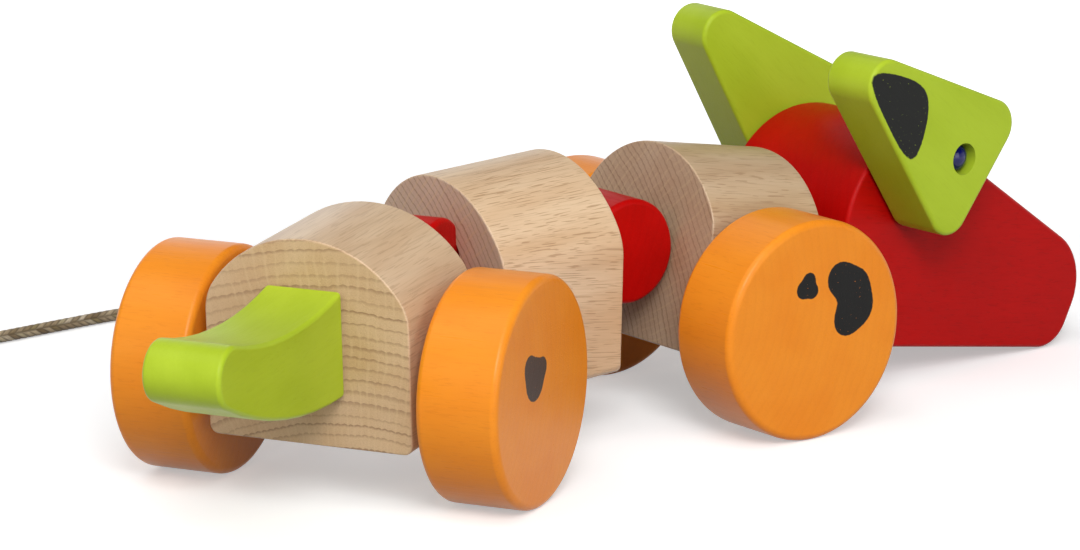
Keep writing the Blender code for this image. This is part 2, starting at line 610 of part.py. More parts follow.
# Pull cord: one stretch from the chest over the floor, then a flat coil with a stopper knot
def smooth_way(places, spacing):
    """Points about one spacing apart on a smooth curve through the places."""
    places = [Vector(place) for place in places]
    ends = [2 * places[0] - places[1]] + places + [2 * places[-1] - places[-2]]
    way = []
    for before, start, end, after in zip(ends, ends[1:], ends[2:], ends[3:]):
        count = max(1, round((end - start).length / spacing))
        for step in range(count):
            t = step / count
            slope = end - before
            bend = 2 * before - 5 * start + 4 * end - after
            twist = 3 * start - before - 3 * end + after
            way.append(start + (slope * t + bend * t ** 2 + twist * t ** 3) / 2)
    return way + [places[-1]]


def tube(name, way, resolution):
    curve = bpy.data.curves.new(name, "CURVE")
    curve.dimensions = "3D"
    curve.bevel_depth = CORD_DIAMETER / 2
    curve.bevel_resolution = resolution
    curve.use_fill_caps = True
    spline = curve.splines.new("POLY")
    spline.points.add(len(way) - 1)
    for point, place in zip(spline.points, way):
        point.co = (*place, 1)
    curve.materials.append(cord_cotton)
    made = bpy.data.objects.new(name, curve)
    parts.objects.link(made)


front_place = Matrix.Translation(front_joint) @ front_turn.to_matrix().to_4x4()
chest_x = REACH + BLOCK_LENGTH
chest_z = CORD_HOLE_HEIGHT - FRONT_JOINT_HEIGHT
in_hole = front_place @ Vector((chest_x - CORD_HOLE_DEPTH + GLUE_GAP, 0, chest_z))
at_mouth = front_place @ Vector((chest_x + CORD_DIAMETER / 2, 0, chest_z))
below_mouth = Vector((at_mouth.x, at_mouth.y, 0))
route = [in_hole, at_mouth] + [below_mouth + Vector(place) for place in CORD_ROUTE]
cord_way = smooth_way(route, CORD_SPACING * CORD_DIAMETER)
tube("pull_cord", cord_way, 2)

coil_start = cord_way[-1] + Vector((-GLUE_GAP, 0, 0))
coil_centre = coil_start + Vector((-CORD_DIAMETER, COIL_OUTER_RADIUS, 0))
coil_steps = SMALL_STEPS * COIL_TURNS
coil_way = [coil_start]
for step in range(coil_steps + 1):
    turns = COIL_TURNS * step / coil_steps
    radius = COIL_OUTER_RADIUS - COIL_PITCH * turns
    angle = -pi / 2 - 2 * pi * turns
    coil_way.append(coil_centre + Vector((radius * cos(angle), radius * sin(angle), 0)))
curl_centre = coil_centre + Vector((cos(angle), sin(angle), 0)) * (radius - COIL_CURL_RADIUS)
for step in range(1, CURL_STEPS + 1):
    curl = angle - pi / 2 * step / CURL_STEPS
    coil_way.append(curl_centre + Vector((cos(curl), sin(curl), 0)) * COIL_CURL_RADIUS)
coil_heading = (coil_way[-1] - coil_way[-2]).normalized()
coil_way.append(coil_way[-1] + coil_heading * CORD_DIAMETER)
tube("cord_coil", coil_way, 1)

quarter_turn = SMALL_STEPS // 4
apart = [(a - b).length for i, a in enumerate(coil_way) for b in coil_way[i + quarter_turn:]]
coil_gap = min(apart) - CORD_DIAMETER
print(f"least gap of the coil to itself: {coil_gap * 1000:.2f} mm")
coil_length = sum((b - a).length for a, b in zip(coil_way, coil_way[1:]))
cord_length = sum((b - a).length for a, b in zip(cord_way, cord_way[1:])) + coil_length
print(f"cord length: {cord_length * 1000:.0f} mm")

knot_work = bmesh.new()
bmesh.ops.create_uvsphere(knot_work, u_segments=KNOT_STEPS, v_segments=KNOT_STEPS // 2, radius=KNOT_RADIUS)
knot_mesh = bpy.data.meshes.new("end_knot")
knot_work.to_mesh(knot_mesh)
knot_work.free()
knot_place = coil_way[-1] + coil_heading * (KNOT_RADIUS + GLUE_GAP)
knot_place.z = KNOT_RADIUS
smooth(put(knot_mesh, "end_knot", cord_cotton, None, knot_place))

print(f"front pitch {degrees(front_pitch):.2f}, rear pitch {degrees(rear_pitch):.2f} degrees")
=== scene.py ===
import json
from math import atan2, ceil, cos, hypot, pi, radians, sin, tan

import bmesh
import bpy
from mathutils import Matrix, Vector

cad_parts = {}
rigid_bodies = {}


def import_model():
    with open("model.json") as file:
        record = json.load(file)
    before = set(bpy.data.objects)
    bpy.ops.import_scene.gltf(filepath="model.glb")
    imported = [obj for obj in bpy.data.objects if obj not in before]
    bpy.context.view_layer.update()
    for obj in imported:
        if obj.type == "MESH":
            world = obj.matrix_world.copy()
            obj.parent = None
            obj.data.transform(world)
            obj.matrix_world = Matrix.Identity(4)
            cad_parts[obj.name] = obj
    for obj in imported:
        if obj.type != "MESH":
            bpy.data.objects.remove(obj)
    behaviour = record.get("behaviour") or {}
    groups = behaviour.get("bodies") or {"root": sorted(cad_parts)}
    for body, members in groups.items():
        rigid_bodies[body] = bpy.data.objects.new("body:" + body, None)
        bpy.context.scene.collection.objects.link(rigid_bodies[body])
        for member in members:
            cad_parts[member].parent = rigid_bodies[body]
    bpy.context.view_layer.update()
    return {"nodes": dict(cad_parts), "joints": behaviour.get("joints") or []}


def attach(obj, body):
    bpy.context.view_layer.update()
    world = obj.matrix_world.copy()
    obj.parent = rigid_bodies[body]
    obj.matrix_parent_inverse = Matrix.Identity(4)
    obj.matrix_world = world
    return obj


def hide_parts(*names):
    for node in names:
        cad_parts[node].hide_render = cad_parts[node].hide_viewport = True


for startupThing in list(bpy.data.objects):
    bpy.data.objects.remove(startupThing)
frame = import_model()
scene = bpy.context.scene
print("frame loaded,", len(frame["nodes"]), "nodes")


def linked(name, data):  # a new object in the scene
    made = bpy.data.objects.new(name, data)
    scene.collection.objects.link(made)
    return made


# camera at the photograph's place; the focal length is in pixels of the image's width
viewpoint = {"place": (-0.62928, -0.80238, 0.28113), "heading": 37.29, "tilt": 13.39,
             "focal": 4353.03, "imageWidth": 1080, "sensor": 36.0}
camera = linked("camera", bpy.data.cameras.new("camera"))
camera.location = viewpoint["place"]
camera.rotation_euler = (radians(90 - viewpoint["tilt"]), 0, -radians(viewpoint["heading"]))
camera.data.sensor_fit = "HORIZONTAL"
camera.data.sensor_width = viewpoint["sensor"]
camera.data.lens = viewpoint["sensor"] * viewpoint["focal"] / viewpoint["imageWidth"]
scene.camera = camera

# frames of the three blocks, from the joints
joints = {joint["name"]: joint for joint in frame["joints"]}


def axisOf(name):
    return Vector(joints[name]["axis"]).normalized()


def pivotOf(name):
    return Vector(joints[name]["pos_m"])


def standing(x, y, z, place):  # matrix of a frame with these axes at this place
    made = Matrix((x, y, z)).transposed().to_4x4()
    made.translation = place
    return made


blockShape = {
    "width": 0.0511, "height": 0.0484, "length": 0.0349, "shoulder": 63.3, "cornerRound": 0.0022,
    "shoulderRound": 0.012, "edgeRound": 0.0005, "edgeSteps": 3, "reach": 0.013, "frontJoint": 0.0234,
    "rearJoint": 0.0270, "axleHeight": 0.0111, "axleBore": 0.0044}
frontY = axisOf("front_wheel_spin")
frontX = (axisOf("right_ear_turn") - axisOf("left_ear_turn")).normalized()
frontZ = frontX.cross(frontY)
midZ = axisOf("front_swing")
midY = -axisOf("rear_nod")
midX = midY.cross(midZ)
rearZ = axisOf("rear_swing")
rearY = axisOf("rear_wheel_spin")
rearX = rearY.cross(rearZ)
frontPivot, rearPivot = pivotOf("front_swing"), pivotOf("rear_swing")
toMiddle = blockShape["reach"] + blockShape["length"] / 2
frontJoint = standing(frontX, frontY, frontZ, frontPivot)
midFrontJoint = standing(midX, midY, midZ, frontPivot)
midRearJoint = standing(midX, midY, midZ, rearPivot)
rearJoint = standing(rearX, rearY, rearZ, rearPivot)
frontBelly = frontJoint @ Matrix.Translation((toMiddle, 0, -blockShape["frontJoint"]))
midBelly = midFrontJoint @ Matrix.Translation((-toMiddle, 0, -blockShape["frontJoint"]))
rearBelly = rearJoint @ Matrix.Translation((-toMiddle, 0, -blockShape["rearJoint"]))


# shader values that work in sums
class Shade:
    def __init__(self, coat, socket):
        self.coat, self.socket = coat, socket

    def maths(self, operation, *terms):
        return self.coat.node("ShaderNodeMath", {"operation": operation}, dict(enumerate(terms)))

    def __add__(self, other):
        return self.maths("ADD", self, other)

    def __radd__(self, other):
        return self.maths("ADD", other, self)

    def __sub__(self, other):
        return self.maths("SUBTRACT", self, other)

    def __rsub__(self, other):
        return self.maths("SUBTRACT", other, self)

    def __mul__(self, other):
        return self.maths("MULTIPLY", self, other)

    def __rmul__(self, other):
        return self.maths("MULTIPLY", other, self)

    def __truediv__(self, other):
        return self.maths("DIVIDE", self, other)

    def __rtruediv__(self, other):
        return self.maths("DIVIDE", other, self)

    def __abs__(self):
        return self.maths("ABSOLUTE", self)

    def fract(self):
        return self.maths("FRACT", self)

    def floor(self):
        return self.maths("FLOOR", self)


class Coat:  # a material's or the world's nodes
    def __init__(self, owner, fixed):
        owner.use_nodes = True
        self.owner, self.tree = owner, owner.node_tree
        self.surface = self.tree.get_output_node("ALL").inputs["Surface"].links[0].from_node
        for socket, value in fixed.items():
            self.surface.inputs[socket].default_value = value

    def node(self, kind, settings, sockets, output=0):
        made = self.tree.nodes.new(kind)
        for name, value in settings.items():
            if name == "stops":
                for extra in value[2:]:
                    made.color_ramp.elements.new(extra[0])
                for stop, (place, colour) in zip(made.color_ramp.elements, value):
                    stop.position, stop.color = place, colour
            else:
                setattr(made, name, value)
        for socket, value in sockets.items():
            if isinstance(value, Shade):
                self.tree.links.new(value.socket, made.inputs[socket])
            else:
                made.inputs[socket].default_value = value
        return Shade(self, made.outputs[output])

    def coordinates(self, kind):
        return self.node("ShaderNodeTexCoord", {}, {}, kind)

    def local(self, place):  # a piece's own frame, in millimetres
        return self.node("ShaderNodeMapping", {"vector_type": "TEXTURE"},
                         {"Vector": self.coordinates("Object"), "Location": place.translation,
                          "Rotation": place.to_euler(), "Scale": (0.001, 0.001, 0.001)})

    def facing(self, axis):  # how squarely the surface looks along an axis
        normal = self.coordinates("Normal")
        return self.node("ShaderNodeVectorMath", {"operation": "DOT_PRODUCT"}, {0: normal, 1: axis}, 1)

    def split(self, vector):
        outputs = self.node("ShaderNodeSeparateXYZ", {}, {0: vector}).socket.node.outputs
        return [Shade(self, output) for output in outputs]

    def join(self, x, y, z):
        return self.node("ShaderNodeCombineXYZ", {}, {0: x, 1: y, 2: z})

    def length(self, vector):
        return self.node("ShaderNodeVectorMath", {"operation": "LENGTH"}, {0: vector}, 1)

    def noise(self, vector, grain, detail=2.0):  # grain: size of its blots along x, y and z
        scaled = self.node("ShaderNodeVectorMath", {"operation": "DIVIDE"}, {0: vector, 1: grain})
        return self.node("ShaderNodeTexNoise", {}, {"Vector": scaled, "Scale": 1.0, "Detail": detail})

    def step(self, value, low, high):
        return self.node("ShaderNodeMapRange", {"interpolation_type": "SMOOTHSTEP"},
                         {"Value": value, "From Min": low, "From Max": high})

    def mix(self, share, first, second):
        return self.node("ShaderNodeMix", {"data_type": "RGBA"}, {0: share, 6: first, 7: second}, 2)

    def finish(self, colour, roughness, height, depth):
        bump = self.node("ShaderNodeBump", {}, {"Strength": 1.0, "Distance": depth, "Height": height})
        self.feed({"Base Color": colour, "Roughness": roughness, "Normal": bump})
        return self.owner

    def feed(self, sockets):
        for socket, value in sockets.items():
            self.tree.links.new(value.socket, self.surface.inputs[socket])


def newCoat(name, fixed):
    return Coat(bpy.data.materials.new(name), fixed)


def tint(red, green, blue):  # screen colour to the shader's own scale
    parts = [part / 255 for part in (red, green, blue)]
    return tuple(p / 12.92 if p < 0.04045 else ((p + 0.055) / 1.055) ** 2.4 for p in parts) + (1.0,)


endFacing = (0.6, 0.9)  # how squarely an end face looks along the grain

# beech: rings and rays on the ends, flecks along the sides; blots and widths are in millimetres
beechTints = {"pale": tint(223, 195, 161), "deep": tint(206, 171, 133), "fleck": tint(150, 108, 68),
              "ring": tint(128, 88, 54), "ray": tint(214, 183, 142)}
beechGrain = {
    "rayWander": (60, 9, 9), "rayWanderBy": 2.4, "rayEdge": (0.5, 0.95), "rayBreak": (1, 5, 60),
    "rayBreakEdge": (0.3, 0.6), "ringWander": (70, 16, 16), "ringWanderBy": 2.0, "ripple": (30, 4, 4),
    "rippleBy": 0.5, "spacing": (7, 7, 7), "spacingBy": 1.6, "darkens": (0.62, 0.94), "pales": (0.95, 1.0),
    "ringJump": 3.7, "vigour": (0.3, 0.65), "faintest": 0.4, "sideRings": 0.1, "fleckEdge": 0.06,
    "tone": (45, 11, 11), "toneEdge": (0.3, 0.7), "endShare": 0.6, "fibre": (15, 0.35, 0.35),
    "fibreEdge": (0.45, 0.75), "fibreShare": 0.22, "roughness": 0.3, "fibreRoughness": 0.14,
    "endRoughness": 0.14, "fibreRise": 0.5, "fleckDip": 0.5, "ringDip": 0.4, "rayRise": 0.3, "relief": 0.00004}


def beech(name, place, look):
    wood = beechGrain
    coat = newCoat(name, {"Specular IOR Level": 0.5})
    spot = coat.local(place)
    x, y, z = coat.split(spot)
    steep = 1 - abs(coat.facing(place.col[2].xyz))
    grain = coat.join(x, y, z + x * steep * tan(radians(look["tilt"])))
    endFace = coat.step(abs(coat.facing(place.col[0].xyz)), *endFacing)
    across, up = y - look["heart"][0], z - look["heart"][1]
    bearing = up.maths("ARCTAN2", up, across) * hypot(*look["heart"])
    bearing = bearing + coat.noise(spot, wood["rayWander"]) * wood["rayWanderBy"]
    ray = abs((bearing / look["raySpacing"]).fract() - 0.5) * 2
    waver = coat.noise(spot, wood["ringWander"]) * wood["ringWanderBy"]
    waver = waver + coat.noise(spot, wood["ripple"]) * wood["rippleBy"]
    ring = coat.length(coat.join(0.0, across, up)) + waver + x * look["lean"] + ray * look["scallop"]
    spacing = coat.noise(coat.join(ring, 0.0, 0.0), wood["spacing"]) * wood["spacingBy"]
    phase = ring / look["ringWidth"] + spacing
    within = phase.fract()
    late = coat.step(within, *wood["darkens"]) * (1 - coat.step(within, *wood["pales"]))
    vigour = coat.noise(coat.join(phase.floor() * wood["ringJump"], 0.0, 0.0), (1, 1, 1), 0.0)
    rings = late * (wood["faintest"] + coat.step(vigour, *wood["vigour"]) * (1 - wood["faintest"]))
    breaks = coat.noise(coat.join(bearing, ring, x), wood["rayBreak"], 1.0)
    rays = coat.step(ray, *wood["rayEdge"]) * coat.step(breaks, *wood["rayBreakEdge"])
    flecks = coat.noise(grain, look["fleck"], 0.0)
    flecks = coat.step(flecks, look["fleckFrom"], look["fleckFrom"] + wood["fleckEdge"])
    fibre = coat.noise(grain, wood["fibre"], 3.0)
    tone = coat.step(coat.noise(grain, wood["tone"]), *wood["toneEdge"])
    colour = coat.mix(tone, beechTints["pale"], beechTints["deep"])
    colour = coat.mix(endFace * wood["endShare"], colour, look["endTint"])
    colour = coat.mix(coat.step(fibre, *wood["fibreEdge"]) * wood["fibreShare"], colour, beechTints["fleck"])
    colour = coat.mix(flecks * (1 - endFace) * look["fleckStrength"], colour, beechTints["fleck"])
    colour = coat.mix(rings * (endFace * look["ringStrength"] + wood["sideRings"]), colour, beechTints["ring"])
    colour = coat.mix(rays * endFace * look["rayStrength"], colour, beechTints["ray"])
    colour = coat.node("ShaderNodeVectorMath", {"operation": "SCALE"}, {0: colour, "Scale": look["tone"]})
    roughness = fibre * wood["fibreRoughness"] + wood["roughness"] + endFace * wood["endRoughness"]
    height = fibre * wood["fibreRise"] - flecks * wood["fleckDip"] - rings * wood["ringDip"]
    height = height + rays * endFace * wood["rayRise"]
    return coat.finish(colour, roughness, height, wood["relief"])


frontBeech = beech("front beech", frontBelly, {
    "tilt": 0.0, "heart": (72, -38), "lean": 0.05, "ringWidth": 1.7, "raySpacing": 1.5, "scallop": 0.15,
    "ringStrength": 0.56, "rayStrength": 0.35, "endTint": tint(182, 150, 124), "tone": 0.8,
    "fleck": (4.5, 0.45, 0.36), "fleckFrom": 0.64, "fleckStrength": 0.35})
midBeech = beech("middle beech", midBelly, {
    "tilt": 11.0, "heart": (70, -45), "lean": 0.04, "ringWidth": 1.8, "raySpacing": 1.6, "scallop": 0.15,
    "ringStrength": 0.52, "rayStrength": 0.4, "endTint": tint(196, 172, 156), "tone": 1.0,
    "fleck": (5.5, 0.3, 0.28), "fleckFrom": 0.63, "fleckStrength": 0.5})
rearBeech = beech("rear beech", rearBelly, {
    "tilt": 0.0, "heart": (-12, -70), "lean": 0.06, "ringWidth": 2.7, "raySpacing": 1.6, "scallop": 0.25,
    "ringStrength": 0.56, "rayStrength": 0.42, "endTint": tint(200, 163, 120), "tone": 0.95,
    "fleck": (7.0, 0.45, 0.4), "fleckFrom": 0.62, "fleckStrength": 0.22})
print("beech finishes ready")


# stain and varnish over wood: the grain shows faintly through
stainGrain = {
    "fibre": (16, 0.6, 0.6), "fibreEdge": (0.4, 0.75), "fibreShare": 0.3, "dash": (3.2, 0.4, 0.4),
    "dashEdge": (0.6, 0.68), "dashShare": 0.5, "heart": (48, 12), "ringWander": (60, 14, 14), "ringWanderBy": 3,
    "ringWidth": 2.6, "darkens": (0.4, 0.9), "pales": (0.92, 1.0), "endRings": 0.12, "sideRings": 0.04,
    "tone": (30, 12, 12), "toneEdge": (0.3, 0.7), "fibreRoughness": 0.12, "inkRoughness": 0.05,
    "pinhole": (0.45, 0.45, 0.45), "pinholeEdge": (0.74, 0.78), "pinholeShare": 0.5,
    "fibreRise": 0.4, "dashDip": 0.4, "ringDip": 0.2, "relief": 0.00003}


def stained(name, place, grain, look, spots=None):
    wood = stainGrain
    coat = newCoat(name, {"Specular IOR Level": look["gloss"]})
    spot = coat.local(place)
    turned = coat.local(place @ grain) if grain else spot
    along = (place @ grain if grain else place).col[0].xyz
    endFace = coat.step(abs(coat.facing(along)), *endFacing)
    x, y, z = coat.split(turned)
    fibre = coat.noise(turned, wood["fibre"], 2.0)
    dashes = coat.step(coat.noise(turned, wood["dash"], 1.0), *wood["dashEdge"])
    ring = coat.length(coat.join(0.0, y - wood["heart"][0], z - wood["heart"][1]))
    ring = ring + coat.noise(turned, wood["ringWander"]) * wood["ringWanderBy"]
    within = (ring / wood["ringWidth"]).fract()
    rings = coat.step(within, *wood["darkens"]) * (1 - coat.step(within, *wood["pales"]))
    dark = coat.step(fibre, *wood["fibreEdge"]) * wood["fibreShare"] + dashes * (1 - endFace) * wood["dashShare"]
    dark = dark + rings * (endFace * wood["endRings"] + wood["sideRings"])
    tone = coat.step(coat.noise(turned, wood["tone"]), *wood["toneEdge"])
    colour = coat.mix(tone, look["tint"], look["second"])
    colour = coat.mix(dark * look["grainStrength"], colour, look["dark"])
    roughness = look["roughness"] + fibre * wood["fibreRoughness"]
    height = fibre * wood["fibreRise"] - dashes * wood["dashDip"] - rings * wood["ringDip"]
    if spots:
        pinholes = coat.step(coat.noise(spot, wood["pinhole"], 1.0), *wood["pinholeEdge"])
        ink = spots(coat, spot) * (1 - pinholes * wood["pinholeShare"])
        colour = coat.mix(ink, colour, look["ink"])
        roughness = roughness + ink * wood["inkRoughness"]
    return coat.finish(colour, roughness, height, wood["relief"])


def roundBlots(coat, blots, u, v, blend):  # distance outside a run of circles melted together
    away = None
    for x, y, radius in blots:
        this = coat.length(coat.join(u - x, v - y, 0.0)) - radius
        away = this if away is None else this.maths("SMOOTH_MIN", away, this, blend)
    return away


printEdge = {"ragged": (0.9, 0.9, 0.9), "raggedBy": 0.24, "fade": 0.1, "faceFrom": 0.5, "faceTo": 0.1}


def crisp(coat, away, u, v):  # printed edge with a slight raggedness
    ragged = (coat.noise(coat.join(u, v, 0.0), printEdge["ragged"]) - 0.5) * printEdge["raggedBy"]
    return coat.step(away + ragged, printEdge["fade"], -printEdge["fade"])


def faceOnly(coat, reach, outer):  # 1 on the flat face that lies this many metres out
    return coat.step(reach, 1000 * outer - printEdge["faceFrom"], 1000 * outer - printEdge["faceTo"])


# turned wheels
wheelShape = {"radius": 0.027, "thickness": 0.020, "edgeRound": 0.0018, "edgeSteps": 6, "sides": 128,
              "inner": 0.028677, "bore": 0.0043, "boreDepth": 0.013}
wheelLook = {"tint": tint(240, 145, 38), "second": tint(236, 138, 32), "dark": tint(198, 96, 14),
             "gloss": 0.18, "roughness": 0.24, "grainStrength": 0.28}
frontBlots = {"ink": tint(12, 11, 10), "kidneyBlend": 6.0, "dropBlend": 2.0,
              "kidney": [(7.76, 11.81, 4.1), (12.27, 9.29, 4.46), (13.41, 4.21, 4.6), (9.8, 1.45, 3.84)],
              "drop": [(-3.9, 10.7, 2.2), (-1.25, 10.1, 1.9), (-2.2, 12.8, 1.95)]}
rearBlots = {"ink": tint(56, 44, 38), "blend": 3.0,
             "wedge": [(-7.85, 7.6, 2.9), (-0.7, 6.3, 2.3), (-5.0, 4.3, 5.0)]}
wheelFace = wheelShape["inner"] + wheelShape["thickness"]


def frontSpots(coat, spot):
    x, y, z = coat.split(spot)
    kidney = crisp(coat, roundBlots(coat, frontBlots["kidney"], x, z, frontBlots["kidneyBlend"]), x, z)
    drop = crisp(coat, roundBlots(coat, frontBlots["drop"], x, z, frontBlots["dropBlend"]), x, z)
    return kidney.maths("MAXIMUM", kidney, drop) * faceOnly(coat, abs(y), wheelFace)


def rearSpots(coat, spot):
    x, y, z = coat.split(spot)
    wedge = crisp(coat, roundBlots(coat, rearBlots["wedge"], x, z, rearBlots["blend"]), x, z)
    return wedge * faceOnly(coat, abs(y), wheelFace)


upright = Vector((0, 0, 1))
frontHub = standing(frontY.cross(upright), frontY, upright, pivotOf("front_wheel_spin"))
rearHub = standing(rearY.cross(upright), rearY, upright, pivotOf("rear_wheel_spin"))
alongAxle = Matrix.Rotation(pi / 2, 4, "Z")
frontOrange = stained("front wheel orange", frontHub, alongAxle,
                      {**wheelLook, "ink": frontBlots["ink"]}, frontSpots)
rearOrange = stained("rear wheel orange", rearHub, alongAxle,
                     {**wheelLook, "ink": rearBlots["ink"]}, rearSpots)

redLook = {"tint": tint(188, 7, 5), "second": tint(180, 6, 4), "dark": tint(116, 3, 3),
           "gloss": 0.11, "roughness": 0.34, "grainStrength": 0.35}
greenLook = {"tint": tint(176, 199, 49), "second": tint(168, 191, 41), "dark": tint(112, 130, 14),
             "gloss": 0.16, "roughness": 0.3, "grainStrength": 0.1}
print("wheel finishes ready")

# shaping helpers; angles in degrees
shaping = {"arcStep": 4, "sharpAngle": 50, "smoothBelow": 38, "weld": 1e-6, "overshoot": 0.002}
overshoot = shaping["overshoot"]  # how far a cutter sticks out of its piece


def slab(arcs, depth):  # outline of arcs (middle x and y, radius, first and last angle), thick to both sides
    work = bmesh.new()
    for x, y, radius, first, last in arcs:
        start = work.verts.new((x + radius * cos(first), y + radius * sin(first), -depth / 2))
        if radius:
            steps = max(2, ceil(abs(last - first) / radians(shaping["arcStep"])))
            bmesh.ops.spin(work, geom=[start], cent=(x, y, 0), axis=(0, 0, 1), angle=last - first, steps=steps)
    work.faces.new(list(work.verts))
    weld(work)
    grown = bmesh.ops.extrude_face_region(work, geom=work.faces[:])["geom"]
    bmesh.ops.translate(work, vec=(0, 0, depth), verts=[v for v in grown if isinstance(v, bmesh.types.BMVert)])
    bmesh.ops.recalc_face_normals(work, faces=work.faces)
    return work


def cornerArcs(corners):  # arcs that round the corners (x, y, radius) of an anticlockwise outline
    arcs = []
    for index, (x, y, radius) in enumerate(corners):
        here = Vector((x, y))
        before = (Vector(corners[index - 1][:2]) - here).normalized()
        after = (Vector(corners[(index + 1) % len(corners)][:2]) - here).normalized()
        if not radius:
            arcs.append((x, y, 0, 0, 0))
            continue
        half = before.angle(after) / 2
        middle = here + (before + after).normalized() * radius / sin(half)
        start = here + before * radius / tan(half) - middle
        turn = (pi - 2 * half) * (1 if after.cross(before) > 0 else -1)
        first = -Vector((1, 0)).angle_signed(start)
        arcs.append((middle.x, middle.y, radius, first, first + turn))
    return arcs


def soften(work, shape):  # round the sharp edges
    work.normal_update()
    least = radians(shaping["sharpAngle"])
    edges = [edge for edge in work.edges if len(edge.link_faces) == 2 and edge.calc_face_angle() > least]
    bmesh.ops.bevel(work, geom=edges, offset=shape["edgeRound"], offset_type="OFFSET",
                    segments=shape["edgeSteps"], profile=0.5, affect="EDGES", clamp_overlap=True, material=-1)


def weld(work):
    bmesh.ops.remove_doubles(work, verts=work.verts, dist=shaping["weld"])


def rod(radius, low, high, axis, sides=48):
    work = bmesh.new()
    turn = {"X": Matrix.Rotation(pi / 2, 4, "Y"), "Y": Matrix.Rotation(-pi / 2, 4, "X"), "Z": Matrix()}[axis]
    bmesh.ops.create_cone(work, cap_ends=True, segments=sides, radius1=radius, radius2=radius, depth=high - low,
                          matrix=turn @ Matrix.Translation((0, 0, (low + high) / 2)))
    return work


def moved(work, place):
    bmesh.ops.transform(work, matrix=place, verts=work.verts)
    return work


def toObject(work, name):
    mesh = bpy.data.meshes.new(name)
    work.to_mesh(mesh)
    work.free()
    return linked(name, mesh)


def carved(work, cutters):  # the piece with each cutter taken out
    target = toObject(work, "being carved")
    tools = [toObject(cutter, "cutter") for cutter in cutters]
    for tool in tools:
        boolean = target.modifiers.new("cut", "BOOLEAN")
        boolean.operation, boolean.solver, boolean.object = "DIFFERENCE", "EXACT", tool
    result = bpy.data.meshes.new_from_object(target.evaluated_get(bpy.context.evaluated_depsgraph_get()))
    work = bmesh.new()
    work.from_mesh(result)
    for leftOver in [target] + tools:
        bpy.data.meshes.remove(leftOver.data)
    bpy.data.meshes.remove(result)
    weld(work)
    return work


def settle(work, name, place, finish, slot, body, *nodes):  # into the frame, shaded, riding on its body
    moved(work, place)
    bmesh.ops.recalc_face_normals(work, faces=work.faces)
    piece = toObject(work, name)
    piece.data.materials.append(finish)
    piece.data.shade_smooth()
    piece.data.set_sharp_from_angle(angle=radians(shaping["smoothBelow"]))
    even = piece.modifiers.new("even shading", "WEIGHTED_NORMAL")
    even.keep_sharp = True
    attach(piece, body)
    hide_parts(*nodes)
    return piece


# braided pull cord, on the same way as its solid
cordShape = {
    "diameter": 0.003, "fuller": 1.1, "holeHeight": 0.0055, "holeDepth": 0.008, "gap": 0.0003,
    "ringStep": 0.00032, "sides": 32, "columns": 4, "strandPitch": 0.0022, "slant": 1.6,
    "groove": 0.00026, "strandRound": 0.5, "columnRound": 0.35, "pathStep": 6}
cordRoute = [
    (0.0049, 0.0002, 0.0158), (0.0065, 0.0010, 0.0128), (0.0071, 0.0024, 0.0094), (0.0075, 0.0050, 0.0060),
    (0.0081, 0.0090, 0.0034), (0.0089, 0.0140, 0.0020), (0.0101, 0.0205, 0.0017), (0.0123, 0.0300, 0.0017),
    (0.0151, 0.0450, 0.0017), (0.0167, 0.0620, 0.0017), (0.0155, 0.0810, 0.0017), (0.0095, 0.1010, 0.0017),
    (-0.0025, 0.1205, 0.0017), (-0.0197, 0.1365, 0.0017), (-0.0412, 0.1475, 0.0017), (-0.0647, 0.1530, 0.0017),
    (-0.0887, 0.1544, 0.0017), (-0.1077, 0.1535, 0.0017), (-0.1267, 0.1522, 0.0017), (-0.1427, 0.1514, 0.0017),
    (-0.1587, 0.1512, 0.0017)]
coilShape = {"turns": 2, "outer": 0.024, "pitch": 0.006, "curl": 0.007, "stepsPerTurn": 36, "curlSteps": 6}
knotShape = {"radius": 0.0042, "loop": 0.00115, "rise": 0.00155, "steps": 48, "open": 0.02, "fuller": 0.92}


def smoothWay(places, spacing):  # points on a smooth curve through the places
    ends = [2 * places[0] - places[1]] + places + [2 * places[-1] - places[-2]]
    way = []
    for before, start, end, after in zip(ends, ends[1:], ends[2:], ends[3:]):
        count = max(1, round((end - start).length / spacing))
        for step in range(count):
            t = step / count
            bend = 2 * before - 5 * start + 4 * end - after
            twist = 3 * start - before - 3 * end + after
            way.append(start + ((end - before) * t + bend * t ** 2 + twist * t ** 3) / 2)
    return way + [places[-1]]


chest = blockShape["length"] / 2
cordExit = frontBelly @ Vector((chest, 0, cordShape["holeHeight"]))
atMouth = frontBelly @ Vector((chest + cordShape["diameter"] / 2, 0, cordShape["holeHeight"]))
belowMouth = Vector((atMouth.x, atMouth.y, 0))
cordPlaces = [cordExit, atMouth] + [belowMouth + Vector(place) for place in cordRoute]
coilMiddle = cordPlaces[-1] + Vector((-cordShape["gap"] - cordShape["diameter"], coilShape["outer"], 0))
for step in range(coilShape["turns"] * coilShape["stepsPerTurn"] + 1):
    turns = step / coilShape["stepsPerTurn"]
    radius = coilShape["outer"] - coilShape["pitch"] * turns
    bearing = -pi / 2 - 2 * pi * turns
    cordPlaces.append(coilMiddle + radius * Vector((cos(bearing), sin(bearing), 0)))
curlMiddle = coilMiddle + (radius - coilShape["curl"]) * Vector((cos(bearing), sin(bearing), 0))
for step in range(1, coilShape["curlSteps"] + 1):
    curl = bearing - pi / 2 * step / coilShape["curlSteps"]
    cordPlaces.append(curlMiddle + coilShape["curl"] * Vector((cos(curl), sin(curl), 0)))
coilHeading = (cordPlaces[-1] - cordPlaces[-2]).normalized()
cordPlaces.append(cordPlaces[-1] + coilHeading * cordShape["diameter"])


